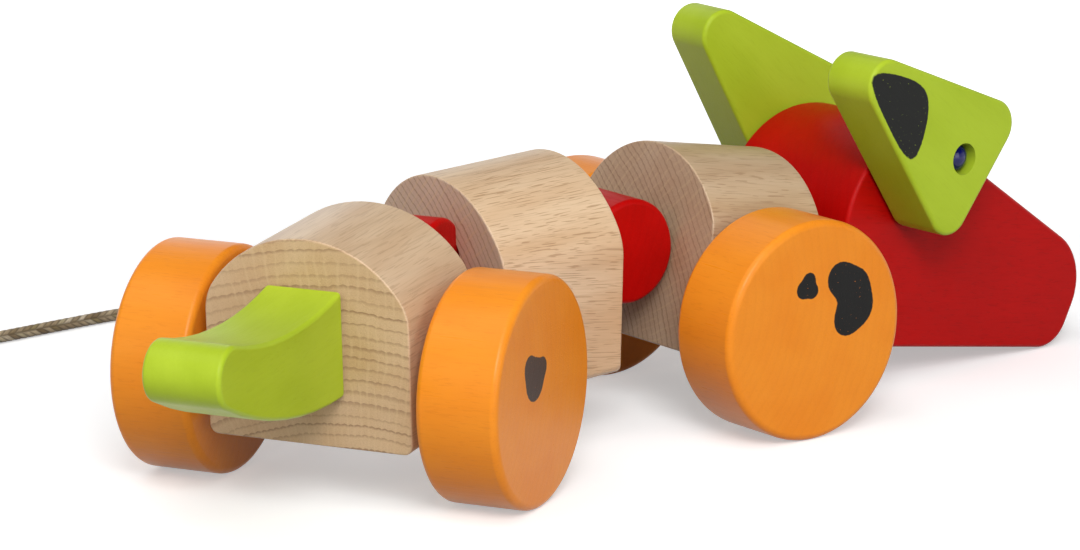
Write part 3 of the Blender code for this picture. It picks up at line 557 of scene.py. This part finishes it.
def braidedTube(name, places, fuller):  # rings of vertices along the way, raised where a strand lies on top
    way = smoothWay(places, cordShape["ringStep"])
    sides, columns = cordShape["sides"], cordShape["columns"]
    vertices, faces, marks = [], [], []
    side = (way[1] - way[0]).orthogonal().normalized()
    run = 0.0
    for index, place in enumerate(way):
        ahead = (way[min(index + 1, len(way) - 1)] - way[max(index - 1, 0)]).normalized()
        side = (side - ahead * side.dot(ahead)).normalized()
        over = ahead.cross(side)
        if index:
            run += (place - way[index - 1]).length
        for corner in range(sides):
            angle = 2 * pi * corner / sides
            column = columns * corner / sides
            across = column % 1 - 0.5
            lean = 1 if int(column) % 2 else -1
            strand = run / cordShape["strandPitch"] + lean * cordShape["slant"] * across
            crest = abs(sin(pi * (strand % 1))) ** cordShape["strandRound"]
            crest *= cos(pi * across) ** cordShape["columnRound"]
            radius = fuller * (cordShape["diameter"] / 2 - cordShape["groove"] * (1 - crest))
            vertices.append(place + radius * (cos(angle) * side + sin(angle) * over))
        marks.append(run)
    for ring in range(len(way) - 1):
        for corner in range(sides):
            nextCorner = (corner + 1) % sides
            a, b = ring * sides, (ring + 1) * sides
            faces.append((a + corner, a + nextCorner, b + nextCorner, b + corner))
    faces.append(tuple(reversed(range(sides))))
    faces.append(tuple(range((len(way) - 1) * sides, len(way) * sides)))
    mesh = bpy.data.meshes.new(name)
    mesh.from_pydata(vertices, [], faces)
    sheet = mesh.uv_layers.new(name="braid")
    for polygon in mesh.polygons[:-2]:
        ring, corner = divmod(polygon.index, sides)
        turnsRound = [corner / sides, (corner + 1) / sides, (corner + 1) / sides, corner / sides]
        runs = [marks[ring], marks[ring], marks[ring + 1], marks[ring + 1]]
        for loop, along, around in zip(polygon.loop_indices, runs, turnsRound):
            sheet.data[loop].uv = (along / cordShape["strandPitch"], around * columns)
    mesh.shade_smooth()
    return linked(name, mesh), way


cordTints = [(0.0, tint(186, 168, 138)), (0.22, tint(138, 118, 86)), (0.42, tint(168, 149, 120)),
             (0.6, tint(116, 96, 68)), (0.78, tint(150, 136, 94)), (0.9, tint(198, 183, 158))]
# the dark tint at the strand edges is painted shade for the gaps between the strands
cordLook = {
    "paintedGapShade": tint(62, 52, 38), "paintedGapShadeShare": 0.6, "endEdge": (0.18, 0.5), "sideEdge": (0.26, 0.5),
    "yarn": tint(90, 74, 50), "yarnEdge": (0.4, 0.7), "yarnShare": 0.3, "yarnsAlong": 7, "yarnsAcross": 1.5,
    "roughness": 0.82, "yarnRoughness": 0.1, "relief": 0.00006}


def braidedCotton():
    coat = newCoat("braided cotton", {"Sheen Weight": 0.25, "Sheen Roughness": 0.5, "Specular IOR Level": 0.25})
    sheet = coat.node("ShaderNodeUVMap", {"uv_map": "braid"}, {})
    along, around = coat.split(sheet)[:2]
    column = around.floor()
    across = around.fract() - 0.5
    lean = (column / 2).fract() * 4 - 1
    strand = along + lean * cordShape["slant"] * across
    dye = coat.node("ShaderNodeTexWhiteNoise", {"noise_dimensions": "2D"},
                    {"Vector": coat.join(strand.floor(), column, 0.0)})
    colour = coat.node("ShaderNodeValToRGB", {"stops": cordTints}, {"Fac": dye})
    # painted shade: each strand darkens towards its ends and sides, where the gaps between strands lie
    ends = coat.step(abs(strand.fract() - 0.5), *cordLook["endEdge"])
    paintedGapShade = ends.maths("MAXIMUM", ends, coat.step(abs(across), *cordLook["sideEdge"]))
    threads = coat.join(strand * cordLook["yarnsAlong"], across * cordLook["yarnsAcross"], column)
    yarn = coat.noise(threads, (1, 1, 1))
    colour = coat.mix(paintedGapShade * cordLook["paintedGapShadeShare"], colour, cordLook["paintedGapShade"])
    colour = coat.mix(coat.step(yarn, *cordLook["yarnEdge"]) * cordLook["yarnShare"], colour, cordLook["yarn"])
    return coat.finish(colour, yarn * cordLook["yarnRoughness"] + cordLook["roughness"], yarn, cordLook["relief"])


cotton = braidedCotton()
cord, cordWay = braidedTube("pullCord", cordPlaces, cordShape["fuller"])
cord.data.materials.append(cotton)
cordLength = sum((b - a).length for a, b in zip(cordWay, cordWay[1:]))

knotMiddle = cordPlaces[-1] + coilHeading * (knotShape["radius"] + cordShape["gap"])
knotMiddle.z = knotShape["rise"] + cordShape["diameter"] / 2
knotSide = upright.cross(coilHeading)
knotPlaces = []
for step in range(knotShape["steps"] + 1):
    t = 2 * pi * (knotShape["open"] + (1 - 2 * knotShape["open"]) * step / knotShape["steps"]) + pi
    flatX, flatY = sin(t) + 2 * sin(2 * t), cos(t) - 2 * cos(2 * t)
    knotPlaces.append(knotMiddle + knotShape["loop"] * (flatX * knotSide + flatY * coilHeading)
                      - Vector((0, 0, knotShape["rise"] * sin(3 * t))))
knot = braidedTube("endKnot", knotPlaces, knotShape["fuller"])[0]
knot.data.materials.append(cotton)
for piece, nodes in ((cord, ("pull_cord", "cord_coil")), (knot, ("end_knot",))):
    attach(piece, "front")
    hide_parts(*nodes)
cordWay[::cordShape["pathStep"]] + [cordWay[-1]]
print("cord laid,", round(cordLength * 1000), "mm")


# arched blocks
knuckleShape = {
    "radius": 0.01285, "width": 0.024, "sides": 96, "edgeRound": 0.0013, "edgeSteps": 5, "yawStop": 31.5,
    "nodStop": 14.5, "slotReach": 0.0168, "socketDepth": 0.005,
    "frontHollow": {"half": 0.0073, "top": 0.0076, "low": 0.0102, "corner": 0.002},
    "midHollow": {"half": 0.008, "top": 0.0094, "low": 0.0094, "corner": 0.0079},
    "dowel": 0.004, "dowelDepth": 0.009, "tongueWidth": 0.006, "tongueThickness": 0.005, "tongueEye": 0.00525,
    "tongueRoot": 0.010, "wall": 0.0013, "glue": 0.0003, "running": 0.0004, "frontLift": -0.0006,
    "rearLift": 0.00185}
pinShape = {"radius": 0.002, "length": 0.022, "edgeRound": 0.0003, "edgeSteps": 2}
neckShape = {"radius": 0.008, "height": 0.031, "inBlock": 0.010, "inHead": 0.014, "gap": 0.0097,
             "sides": 96, "edgeRound": 0.0005, "edgeSteps": 2}
tailShape = {
    "length": 0.060, "width": 0.019, "root": 0.0249, "rise": 0.0125, "tip": 0.0071, "tipRise": 0.0199,
    "tipFrom": 80, "tipTo": 245, "dip": 0.0037, "bulge": 0.0037, "edgeRound": 0.0011, "edgeSteps": 4,
    "dowel": 0.003, "dowelDepth": 0.009, "dowelApart": 0.011}
glue, running = knuckleShape["glue"], knuckleShape["running"]
endOn = Matrix(((0, 0, 1, 0), (1, 0, 0, 0), (0, 1, 0, 0), (0, 0, 0, 1)))  # outline across, depth along x


def archedBlock():
    half = blockShape["width"] / 2
    shoulder = radians(blockShape["shoulder"])
    radius = half / sin(shoulder)
    corner, soft = blockShape["cornerRound"], blockShape["shoulderRound"]
    archZ, softX = blockShape["height"] - radius, half - soft
    softRise = ((radius - soft) ** 2 - softX ** 2) ** 0.5
    meet = atan2(softRise, softX)
    work = slab([(corner - half, corner, corner, pi, 1.5 * pi), (half - corner, corner, corner, -pi / 2, 0),
                 (softX, archZ + softRise, soft, 0, meet), (0, archZ, radius, meet, pi - meet),
                 (-softX, archZ + softRise, soft, pi - meet, pi)], blockShape["length"])
    soften(work, blockShape)
    return moved(work, endOn)


def boreX(radius, low, high, height):
    return moved(rod(radius, low, high, "X"), Matrix.Translation((0, 0, height)))


def axleBore(axleX):
    across = blockShape["width"]
    return moved(rod(blockShape["axleBore"], -across, across, "Y"),
                 Matrix.Translation((axleX, 0, blockShape["axleHeight"])))


def tongueSocket(height, hollow):  # hollow that the drum's edge swings into, and the tongue's slot
    back = -blockShape["length"] / 2
    bottom = back + knuckleShape["socketDepth"]
    slot = bmesh.new()
    bmesh.ops.create_cube(slot, size=1.0)
    deep = knuckleShape["socketDepth"] / 2 + knuckleShape["tongueRoot"] + glue
    bmesh.ops.scale(slot, vec=(deep, knuckleShape["tongueWidth"] + 2 * glue,
                               knuckleShape["tongueThickness"] + 2 * glue), verts=slot.verts)
    slotX = bottom + knuckleShape["tongueRoot"] + glue - deep / 2
    bmesh.ops.translate(slot, vec=(slotX, 0, height), verts=slot.verts)
    corner = hollow["corner"]
    side, top, low = hollow["half"] - corner, hollow["top"] - corner, corner - hollow["low"]
    room = slab([(-side, low, corner, pi, 1.5 * pi), (side, low, corner, 1.5 * pi, 2 * pi),
                 (side, top, corner, 0, pi / 2), (-side, top, corner, pi / 2, pi)], 2 * knuckleShape["socketDepth"])
    return [moved(room, Matrix.Translation((back, 0, height)) @ endOn), slot]


front = blockShape["length"] / 2
ahead = front + overshoot
dowelHole = knuckleShape["dowel"] + glue
dowelIn = front - knuckleShape["dowelDepth"] - glue
frontAxleX = (frontBelly.inverted() @ frontHub.translation).x
rearAxleX = (rearBelly.inverted() @ rearHub.translation).x
tailMiddle = tailShape["rise"] + tailShape["root"] / 2
neckBore = boreX(neckShape["radius"] + glue, front - neckShape["inBlock"] - glue, ahead, neckShape["height"])
cordBore = boreX(cordShape["diameter"] / 2 + running, front - cordShape["holeDepth"], ahead, cordShape["holeHeight"])
dowelOffsets = (-tailShape["dowelApart"] / 2, tailShape["dowelApart"] / 2)
tailBores = [boreX(tailShape["dowel"] + glue, -ahead, tailShape["dowelDepth"] + glue - front, tailMiddle + offset)
             for offset in dowelOffsets]
blockCuts = {
    "front": tongueSocket(blockShape["frontJoint"], knuckleShape["frontHollow"])
    + [axleBore(frontAxleX), neckBore, cordBore],
    "mid": tongueSocket(blockShape["rearJoint"], knuckleShape["midHollow"])
    + [boreX(dowelHole, dowelIn, ahead, blockShape["frontJoint"])],
    "rear": [axleBore(rearAxleX), boreX(dowelHole, dowelIn, ahead, blockShape["rearJoint"])] + tailBores}
for body, place, finish in (("front", frontBelly, frontBeech), ("mid", midBelly, midBeech),
                            ("rear", rearBelly, rearBeech)):
    block = carved(archedBlock(), blockCuts[body])
    settle(block, f"{body}Block", place, finish, "beech", body, f"{body}_block")
print("blocks carved")


# wheels and axles
bothSides = (("left", 1), ("right", -1))


def wheel():  # outer face towards +Z
    half = wheelShape["thickness"] / 2
    work = rod(wheelShape["radius"], -half, half, "Z", wheelShape["sides"])
    soften(work, wheelShape)
    work.faces.ensure_lookup_table()
    inner = min(work.faces, key=lambda face: face.calc_center_median().z)
    narrow = wheelShape["radius"] - wheelShape["edgeRound"] - wheelShape["bore"]
    bmesh.ops.inset_individual(work, faces=[inner], thickness=narrow)
    grown = bmesh.ops.extrude_discrete_faces(work, faces=[inner])["faces"]
    pushed = list({vertex for face in grown for vertex in face.verts})
    bmesh.ops.translate(work, vec=(0, 0, wheelShape["boreDepth"]), verts=pushed)
    return work


axleShape = {"radius": 0.004, "edgeRound": 0.0004, "edgeSteps": 2}
birchLook = {"tint": tint(226, 198, 156), "second": tint(214, 182, 136), "dark": tint(168, 130, 86),
             "gloss": 0.4, "roughness": 0.45, "grainStrength": 0.7}
for body, hub, finish in (("front", frontHub, frontOrange), ("rear", rearHub, rearOrange)):
    for side, sign in bothSides:
        outward = hub @ Matrix.Translation((0, sign * (wheelShape["inner"] + wheelShape["thickness"] / 2), 0))
        outward = outward @ Matrix.Rotation(-sign * pi / 2, 4, "X")
        settle(wheel(), f"{body}{side.title()}Wheel", outward, finish, "orange_paint", f"{body}_wheels",
               f"{body}_{side}_wheel")
    reach = wheelShape["inner"] + wheelShape["boreDepth"] - glue
    axle = rod(axleShape["radius"], -reach, reach, "Y")
    soften(axle, axleShape)
    birch = stained(f"{body} axle birch", hub, alongAxle, birchLook)
    settle(axle, f"{body}Axle", hub, birch, "birch", f"{body}_wheels", f"{body}_axle")
print("wheels turned")


# knuckles with their tongues and upright pins
def knuckle(drumPlace):
    half = knuckleShape["width"] / 2
    drum = rod(knuckleShape["radius"], -half, half, "Y", knuckleShape["sides"])
    soften(drum, knuckleShape)
    moved(drum, drumPlace)
    nod, swing = radians(knuckleShape["nodStop"]), radians(knuckleShape["yawStop"])
    back = knuckleShape["tongueEye"] + knuckleShape["tongueThickness"] / 2 * sin(nod) + running
    mouth = knuckleShape["radius"] + overshoot
    spread = knuckleShape["tongueWidth"] / 2 / cos(swing) + running
    neck = back / 2
    rightEdge = [(-back, -back), (neck, -max(back, neck * tan(swing) + spread)),
                 (mouth, -mouth * tan(swing) - spread)]
    leftEdge = [(x, -y) for x, y in reversed(rightEdge)]
    tongueHalf = knuckleShape["tongueThickness"] / 2 / cos(nod)
    wedge = slab([(x, y, 0, 0, 0) for x, y in rightEdge + leftEdge],
                 2 * (knuckleShape["slotReach"] * tan(nod) + tongueHalf + running))
    pinHole = rod(pinShape["radius"] + glue, -mouth, pinShape["length"] / 2 + glue, "Z")
    dowel = rod(dowelHole, -mouth, -back - knuckleShape["wall"], "X")
    return carved(drum, [wedge, pinHole, dowel])


def tongue():
    eye, half = knuckleShape["tongueEye"], knuckleShape["tongueWidth"] / 2
    meet = Vector((1, 0)).angle(Vector(((eye ** 2 - half ** 2) ** 0.5, half)))
    longEnd = blockShape["reach"] + knuckleShape["socketDepth"] + knuckleShape["tongueRoot"]
    work = slab([(0, 0, eye, meet, 2 * pi - meet), (longEnd, -half, 0, 0, 0), (longEnd, half, 0, 0, 0)],
                knuckleShape["tongueThickness"])
    nod = radians(knuckleShape["nodStop"])
    hole = pinShape["radius"] / cos(nod) + knuckleShape["tongueThickness"] / 2 * tan(nod) + running
    return carved(work, [rod(hole, -eye, eye, "Z")])


# likeJoint is the frame that the drum is turned like in the photograph
for end, body, joint, tongueBody, tongueJoint, likeJoint in (
        ("front", "mid", midFrontJoint, "front", frontJoint, frontJoint),
        ("rear", "rear", rearJoint, "mid", midRearJoint, rearJoint)):
    red = stained(f"{end} knuckle red", likeJoint, alongAxle, redLook)
    birch = stained(f"{end} tongue birch", tongueJoint, None, birchLook)
    drumPlace = joint.inverted() @ likeJoint @ Matrix.Translation((0, 0, knuckleShape[f"{end}Lift"]))
    settle(knuckle(drumPlace), f"{end}Knuckle", joint, red, "red_paint", body, f"{end}_knuckle")
    settle(tongue(), f"{end}Tongue", tongueJoint, birch, "birch", tongueBody, f"{end}_tongue")
    pin = rod(pinShape["radius"], -pinShape["length"] / 2, pinShape["length"] / 2, "Z")
    soften(pin, pinShape)
    settle(pin, f"{end}HingePin", joint, birch, "birch", f"{end}_pin", f"{end}_hinge_pin")
    frame["nodes"][f"{end}_knuckle_dowel"].data.materials[0] = birch
print("knuckles fitted")

# head and neck
headShape = {
    "length": 0.0900, "height": 0.0559, "width": 0.047, "taper": 4.1, "edgeRound": 0.0011, "edgeSteps": 4,
    "rise": 0.0026, "crown": 0.0257, "forehead": 50.28, "foreheadLength": 0.00933, "nape": 0.012,
    "noseHeight": 0.02387, "noseLead": 0.00335, "nose": 0.0145, "chinSetback": 0.0045, "chin": 0.0098}
earShape = {
    "length": 0.068, "base": 0.0423, "thickness": 0.0151, "corner": 0.0066, "edgeRound": 0.0011, "edgeSteps": 4,
    "inset": 0.0109, "gap": 0.0005, "hole": 0.0040, "holeDepth": 0.007, "holeSides": 64, "shank": 0.0025,
    "angles": {"left": 144.7, "right": 151.1}}
eyeShape = {"radius": 0.0037, "height": 0.0061, "domeShare": 0.6, "shank": 0.0025, "depth": 0.012,
            "sides": 64, "domeSteps": 12}
headPlace = frontBelly @ Matrix.Translation((front + neckShape["gap"], 0, headShape["rise"]))
sideView = Matrix.Rotation(pi / 2, 4, "X")
taper = radians(headShape["taper"])


def headBlank():
    crown, angle = headShape["crown"], radians(headShape["forehead"])
    crownZ = headShape["height"] - crown
    browX = crown + crown * cos(angle) + headShape["foreheadLength"] * sin(angle)
    browZ = crownZ + crown * sin(angle) - headShape["foreheadLength"] * cos(angle)
    chinX, noseX = headShape["length"] - headShape["chinSetback"], headShape["length"] + headShape["noseLead"]
    arcs = cornerArcs([(0, 0, headShape["nape"]), (chinX, 0, headShape["chin"]),
                       (noseX, headShape["noseHeight"], headShape["nose"]), (browX, browZ, 0), (0, crownZ, 0)])
    work = moved(slab(arcs[:4] + [(crown, crownZ, crown, angle, pi)], headShape["width"]), sideView)
    for vertex in work.verts:
        vertex.co.y *= 1 - 2 * vertex.co.x * tan(taper) / headShape["width"]
    soften(work, headShape)
    return work


earPlaces = {}
for side, sign in bothSides:
    outward = axisOf(f"{side}_ear_turn") * -sign
    toNose = frontZ.cross(outward) * -sign
    earPlaces[side] = standing(toNose, outward.cross(toNose), outward, pivotOf(f"{side}_ear_turn"))
neckRise = neckShape["height"] - headShape["rise"]
headCuts = [boreX(neckShape["radius"] + glue, -overshoot, neckShape["inHead"] + glue, neckRise)]
for place in earPlaces.values():
    headCuts.append(moved(rod(eyeShape["shank"] + glue, -eyeShape["depth"] - glue, overshoot, "Z"),
                          headPlace.inverted() @ place))
headRed = stained("head red", headPlace, None, redLook)
settle(carved(headBlank(), headCuts), "head", headPlace, headRed, "red_paint", "front", "head")
neckPlace = headPlace @ Matrix.Translation((0, 0, neckRise))
neck = rod(neckShape["radius"], -neckShape["gap"] - neckShape["inBlock"], neckShape["inHead"], "X", neckShape["sides"])
soften(neck, neckShape)
settle(neck, "neck", neckPlace, headRed, "red_paint", "front", "neck_dowel")
print("head shaped")

# ears on the eye pegs
earPatch = {"ink": tint(14, 15, 12), "sides": [(80.67, 15.07), (-5.56, -16.05), (223.03, 16.29)], "blend": 14.4}


def earSpots(coat, spot, up):  # x towards the nose from the pivot; up is 1 where y climbs the head
    x, y, z = coat.split(spot)
    y = y * up
    away = None
    for bearing, distance in earPatch["sides"]:
        this = x * cos(radians(bearing)) + y * sin(radians(bearing)) - distance
        away = this if away is None else this.maths("SMOOTH_MAX", away, this, earPatch["blend"])
    return crisp(coat, away, x, y) * faceOnly(coat, z, earShape["gap"] + earShape["thickness"])


def ear():
    inset, half = earShape["inset"], earShape["base"] / 2
    arcs = cornerArcs([(-inset, half, earShape["corner"]), (-inset, -half, earShape["corner"]),
                       (earShape["length"] - inset, 0, earShape["corner"])])
    work = slab(arcs, earShape["thickness"])
    soften(work, earShape)
    outer = earShape["gap"] + earShape["thickness"]
    moved(work, Matrix.Translation((0, 0, outer - earShape["thickness"] / 2)))
    hole = rod(earShape["hole"], outer - earShape["holeDepth"], outer + overshoot, "Z", earShape["holeSides"])
    return carved(work, [rod(earShape["shank"] + running, -overshoot, outer, "Z"), hole])


def eyePeg():  # profile from the top of the dome to the end of the shank, spun about Z
    cap, shank = eyeShape["radius"], eyeShape["shank"]
    seat = earShape["gap"] + earShape["thickness"] - earShape["holeDepth"] + glue
    dome = eyeShape["height"] * eyeShape["domeShare"]
    base = seat + eyeShape["height"] - dome
    angles = [pi / 2 * step / eyeShape["domeSteps"] for step in range(eyeShape["domeSteps"] + 1)]
    profile = [(cap * sin(angle), base + dome * cos(angle)) for angle in angles]
    profile += [(cap, seat), (shank, seat), (shank, -eyeShape["depth"]), (0, -eyeShape["depth"])]
    work = bmesh.new()
    points = [work.verts.new((radius, 0, height)) for radius, height in profile]
    lines = [work.edges.new(pair) for pair in zip(points, points[1:])]
    bmesh.ops.spin(work, geom=points + lines, cent=(0, 0, 0), axis=(0, 0, 1), angle=2 * pi,
                   steps=eyeShape["sides"], use_merge=True)
    weld(work)
    return work


eyeLook = {"tints": (tint(9, 15, 104), tint(5, 8, 70)), "cloud": (0.003, 0.003, 0.003), "roughness": 0.1,
           "cloudRoughness": 0.08, "relief": 0.00001}


def glossBlue():
    coat = newCoat("eye blue", {"Coat Weight": 0.6, "Coat Roughness": 0.04, "Specular IOR Level": 0.1})
    cloud = coat.noise(coat.coordinates("Object"), eyeLook["cloud"])
    roughness = cloud * eyeLook["cloudRoughness"] + eyeLook["roughness"]
    return coat.finish(coat.mix(cloud, *eyeLook["tints"]), roughness, cloud, eyeLook["relief"])


eyeBlue = glossBlue()
for side, sign in bothSides:
    place = earPlaces[side]
    turned = place @ Matrix.Rotation(-sign * radians(earShape["angles"][side]), 4, "Z")
    grainWay = place.inverted() @ turned
    green = stained(f"{side} ear green", place, grainWay, {**greenLook, "ink": earPatch["ink"]},
                    lambda coat, spot: earSpots(coat, spot, -sign))
    settle(ear(), f"{side}Ear", turned, green, "green_paint", f"{side}_ear", f"{side}_ear")
    settle(eyePeg(), f"{side}EyePeg", place, eyeBlue, "blue_gloss", "front", f"{side}_eye_peg")
print("ears hung")


# tail
def bow(start, end, rise):  # a shallow arc from start to end; a positive rise bends to the right of the way
    start, end = Vector(start), Vector(end)
    chord = end - start
    radius = chord.length ** 2 / 8 / abs(rise) + abs(rise) / 2
    right = Vector((chord.y, -chord.x)).normalized()
    middle = (start + end) / 2 - right * (radius - abs(rise)) * (1 if rise > 0 else -1)
    first = -Vector((1, 0)).angle_signed(start - middle)
    turn = -(start - middle).angle_signed(end - middle)
    return middle.x, middle.y, radius, first, first + turn


def tailBlank():
    tip, rise = tailShape["tip"], tailShape["tipRise"]
    tipX = tip - tailShape["length"]
    tipFrom, tipTo = radians(tailShape["tipFrom"]), radians(tailShape["tipTo"])
    top = (tipX + tip * cos(tipFrom), rise + tip * sin(tipFrom))
    bottom = (tipX + tip * cos(tipTo), rise + tip * sin(tipTo))
    work = slab([(0, 0, 0, 0, 0), bow((0, tailShape["root"]), top, -tailShape["dip"]),
                 (tipX, rise, tip, tipFrom, tipTo), bow(bottom, (0, 0), tailShape["bulge"])], tailShape["width"])
    moved(work, sideView)
    soften(work, tailShape)
    return work


tailPlace = rearBelly @ Matrix.Translation((-front - glue, 0, tailShape["rise"]))
tailGreen = stained("tail green", tailPlace, None, greenLook)
tailCuts = [boreX(tailShape["dowel"] + glue, -tailShape["dowelDepth"] - glue, overshoot,
                  tailShape["root"] / 2 + offset) for offset in dowelOffsets]
settle(carved(tailBlank(), tailCuts), "tail", tailPlace, tailGreen, "green_paint", "rear", "tail")
tailBirch = stained("tail dowel birch", tailPlace, None, birchLook)
for name in ("upper_tail_dowel", "lower_tail_dowel"):
    frame["nodes"][name].data.materials[0] = tailBirch
print("tail fitted")

# floor, white surroundings and soft lamps
stageLook = {
    "floorSize": 60.0, "floor": 0.8, "floorBounce": 0.42, "floorLift": 0.42, "liftFade": (0.2, 0.6),
    "ambient": 0.06, "sweep": (0.45, 0.2),
    "lamps": [("key", (-0.75, -1.2, 1.0), 0.6, 15.4), ("highKey", (-0.6, -0.7, 1.5), 1.0, 9.0),
              ("left", (-1.6, -0.1, 0.7), 1.0, 3.5), ("overTail", (-0.7, 0.3, 1.4), 1.0, 5.0),
              ("back", (0.4, 1.5, 0.9), 1.0, 2.5), ("nearRight", (0.1, -1.6, 0.5), 1.0, 7.6)]}


def grey(level):
    return (level, level, level, 1.0)


def shownRay(coat):  # 1 where the eye, a reflection or a view through glass meets the surface
    path = coat.node("ShaderNodeLightPath", {}, {}).socket.node.outputs
    kinds = [Shade(coat, path[kind]) for kind in ("Is Camera Ray", "Is Glossy Ray", "Is Transmission Ray")]
    return kinds[0].maths("MAXIMUM", kinds[0].maths("MAXIMUM", kinds[0], kinds[1]), kinds[2])


floorWork = bmesh.new()
bmesh.ops.create_grid(floorWork, x_segments=1, y_segments=1, size=stageLook["floorSize"] / 2)
floor = toObject(floorWork, "floor")
floorCoat = newCoat("white floor", {"Roughness": 1.0, "Specular IOR Level": 0.0, "Emission Strength": 1.0})
shown = shownRay(floorCoat)
fromToy = floorCoat.length(floorCoat.coordinates("Object"))
lift = floorCoat.step(fromToy, *stageLook["liftFade"]) * (1 - stageLook["floorLift"]) + stageLook["floorLift"]
floorCoat.feed({"Base Color": floorCoat.mix(shown, grey(stageLook["floorBounce"]), grey(stageLook["floor"])),
                "Emission Color": floorCoat.mix(shown * lift, grey(0.0), grey(1.0))})
floor.data.materials.append(floorCoat.owner)

scene.world = bpy.data.worlds.new("white room")
room = Coat(scene.world, {"Strength": 1.0})
heading = room.split(room.coordinates("Generated"))
sweep = room.step(heading[2], *stageLook["sweep"])  # white paper round the horizon
room.feed({"Color": room.mix(shownRay(room) * sweep, grey(stageLook["ambient"]), grey(1.0))})

for name, place, size, power in stageLook["lamps"]:
    lamp = linked(name, bpy.data.lights.new(name, "AREA"))
    lamp.data.size, lamp.data.energy = size, power
    lamp.location = place
    lamp.rotation_euler = (-Vector(place)).to_track_quat("-Z", "Y").to_euler()
scene.view_settings.view_transform = "Standard"
print("stage lit")
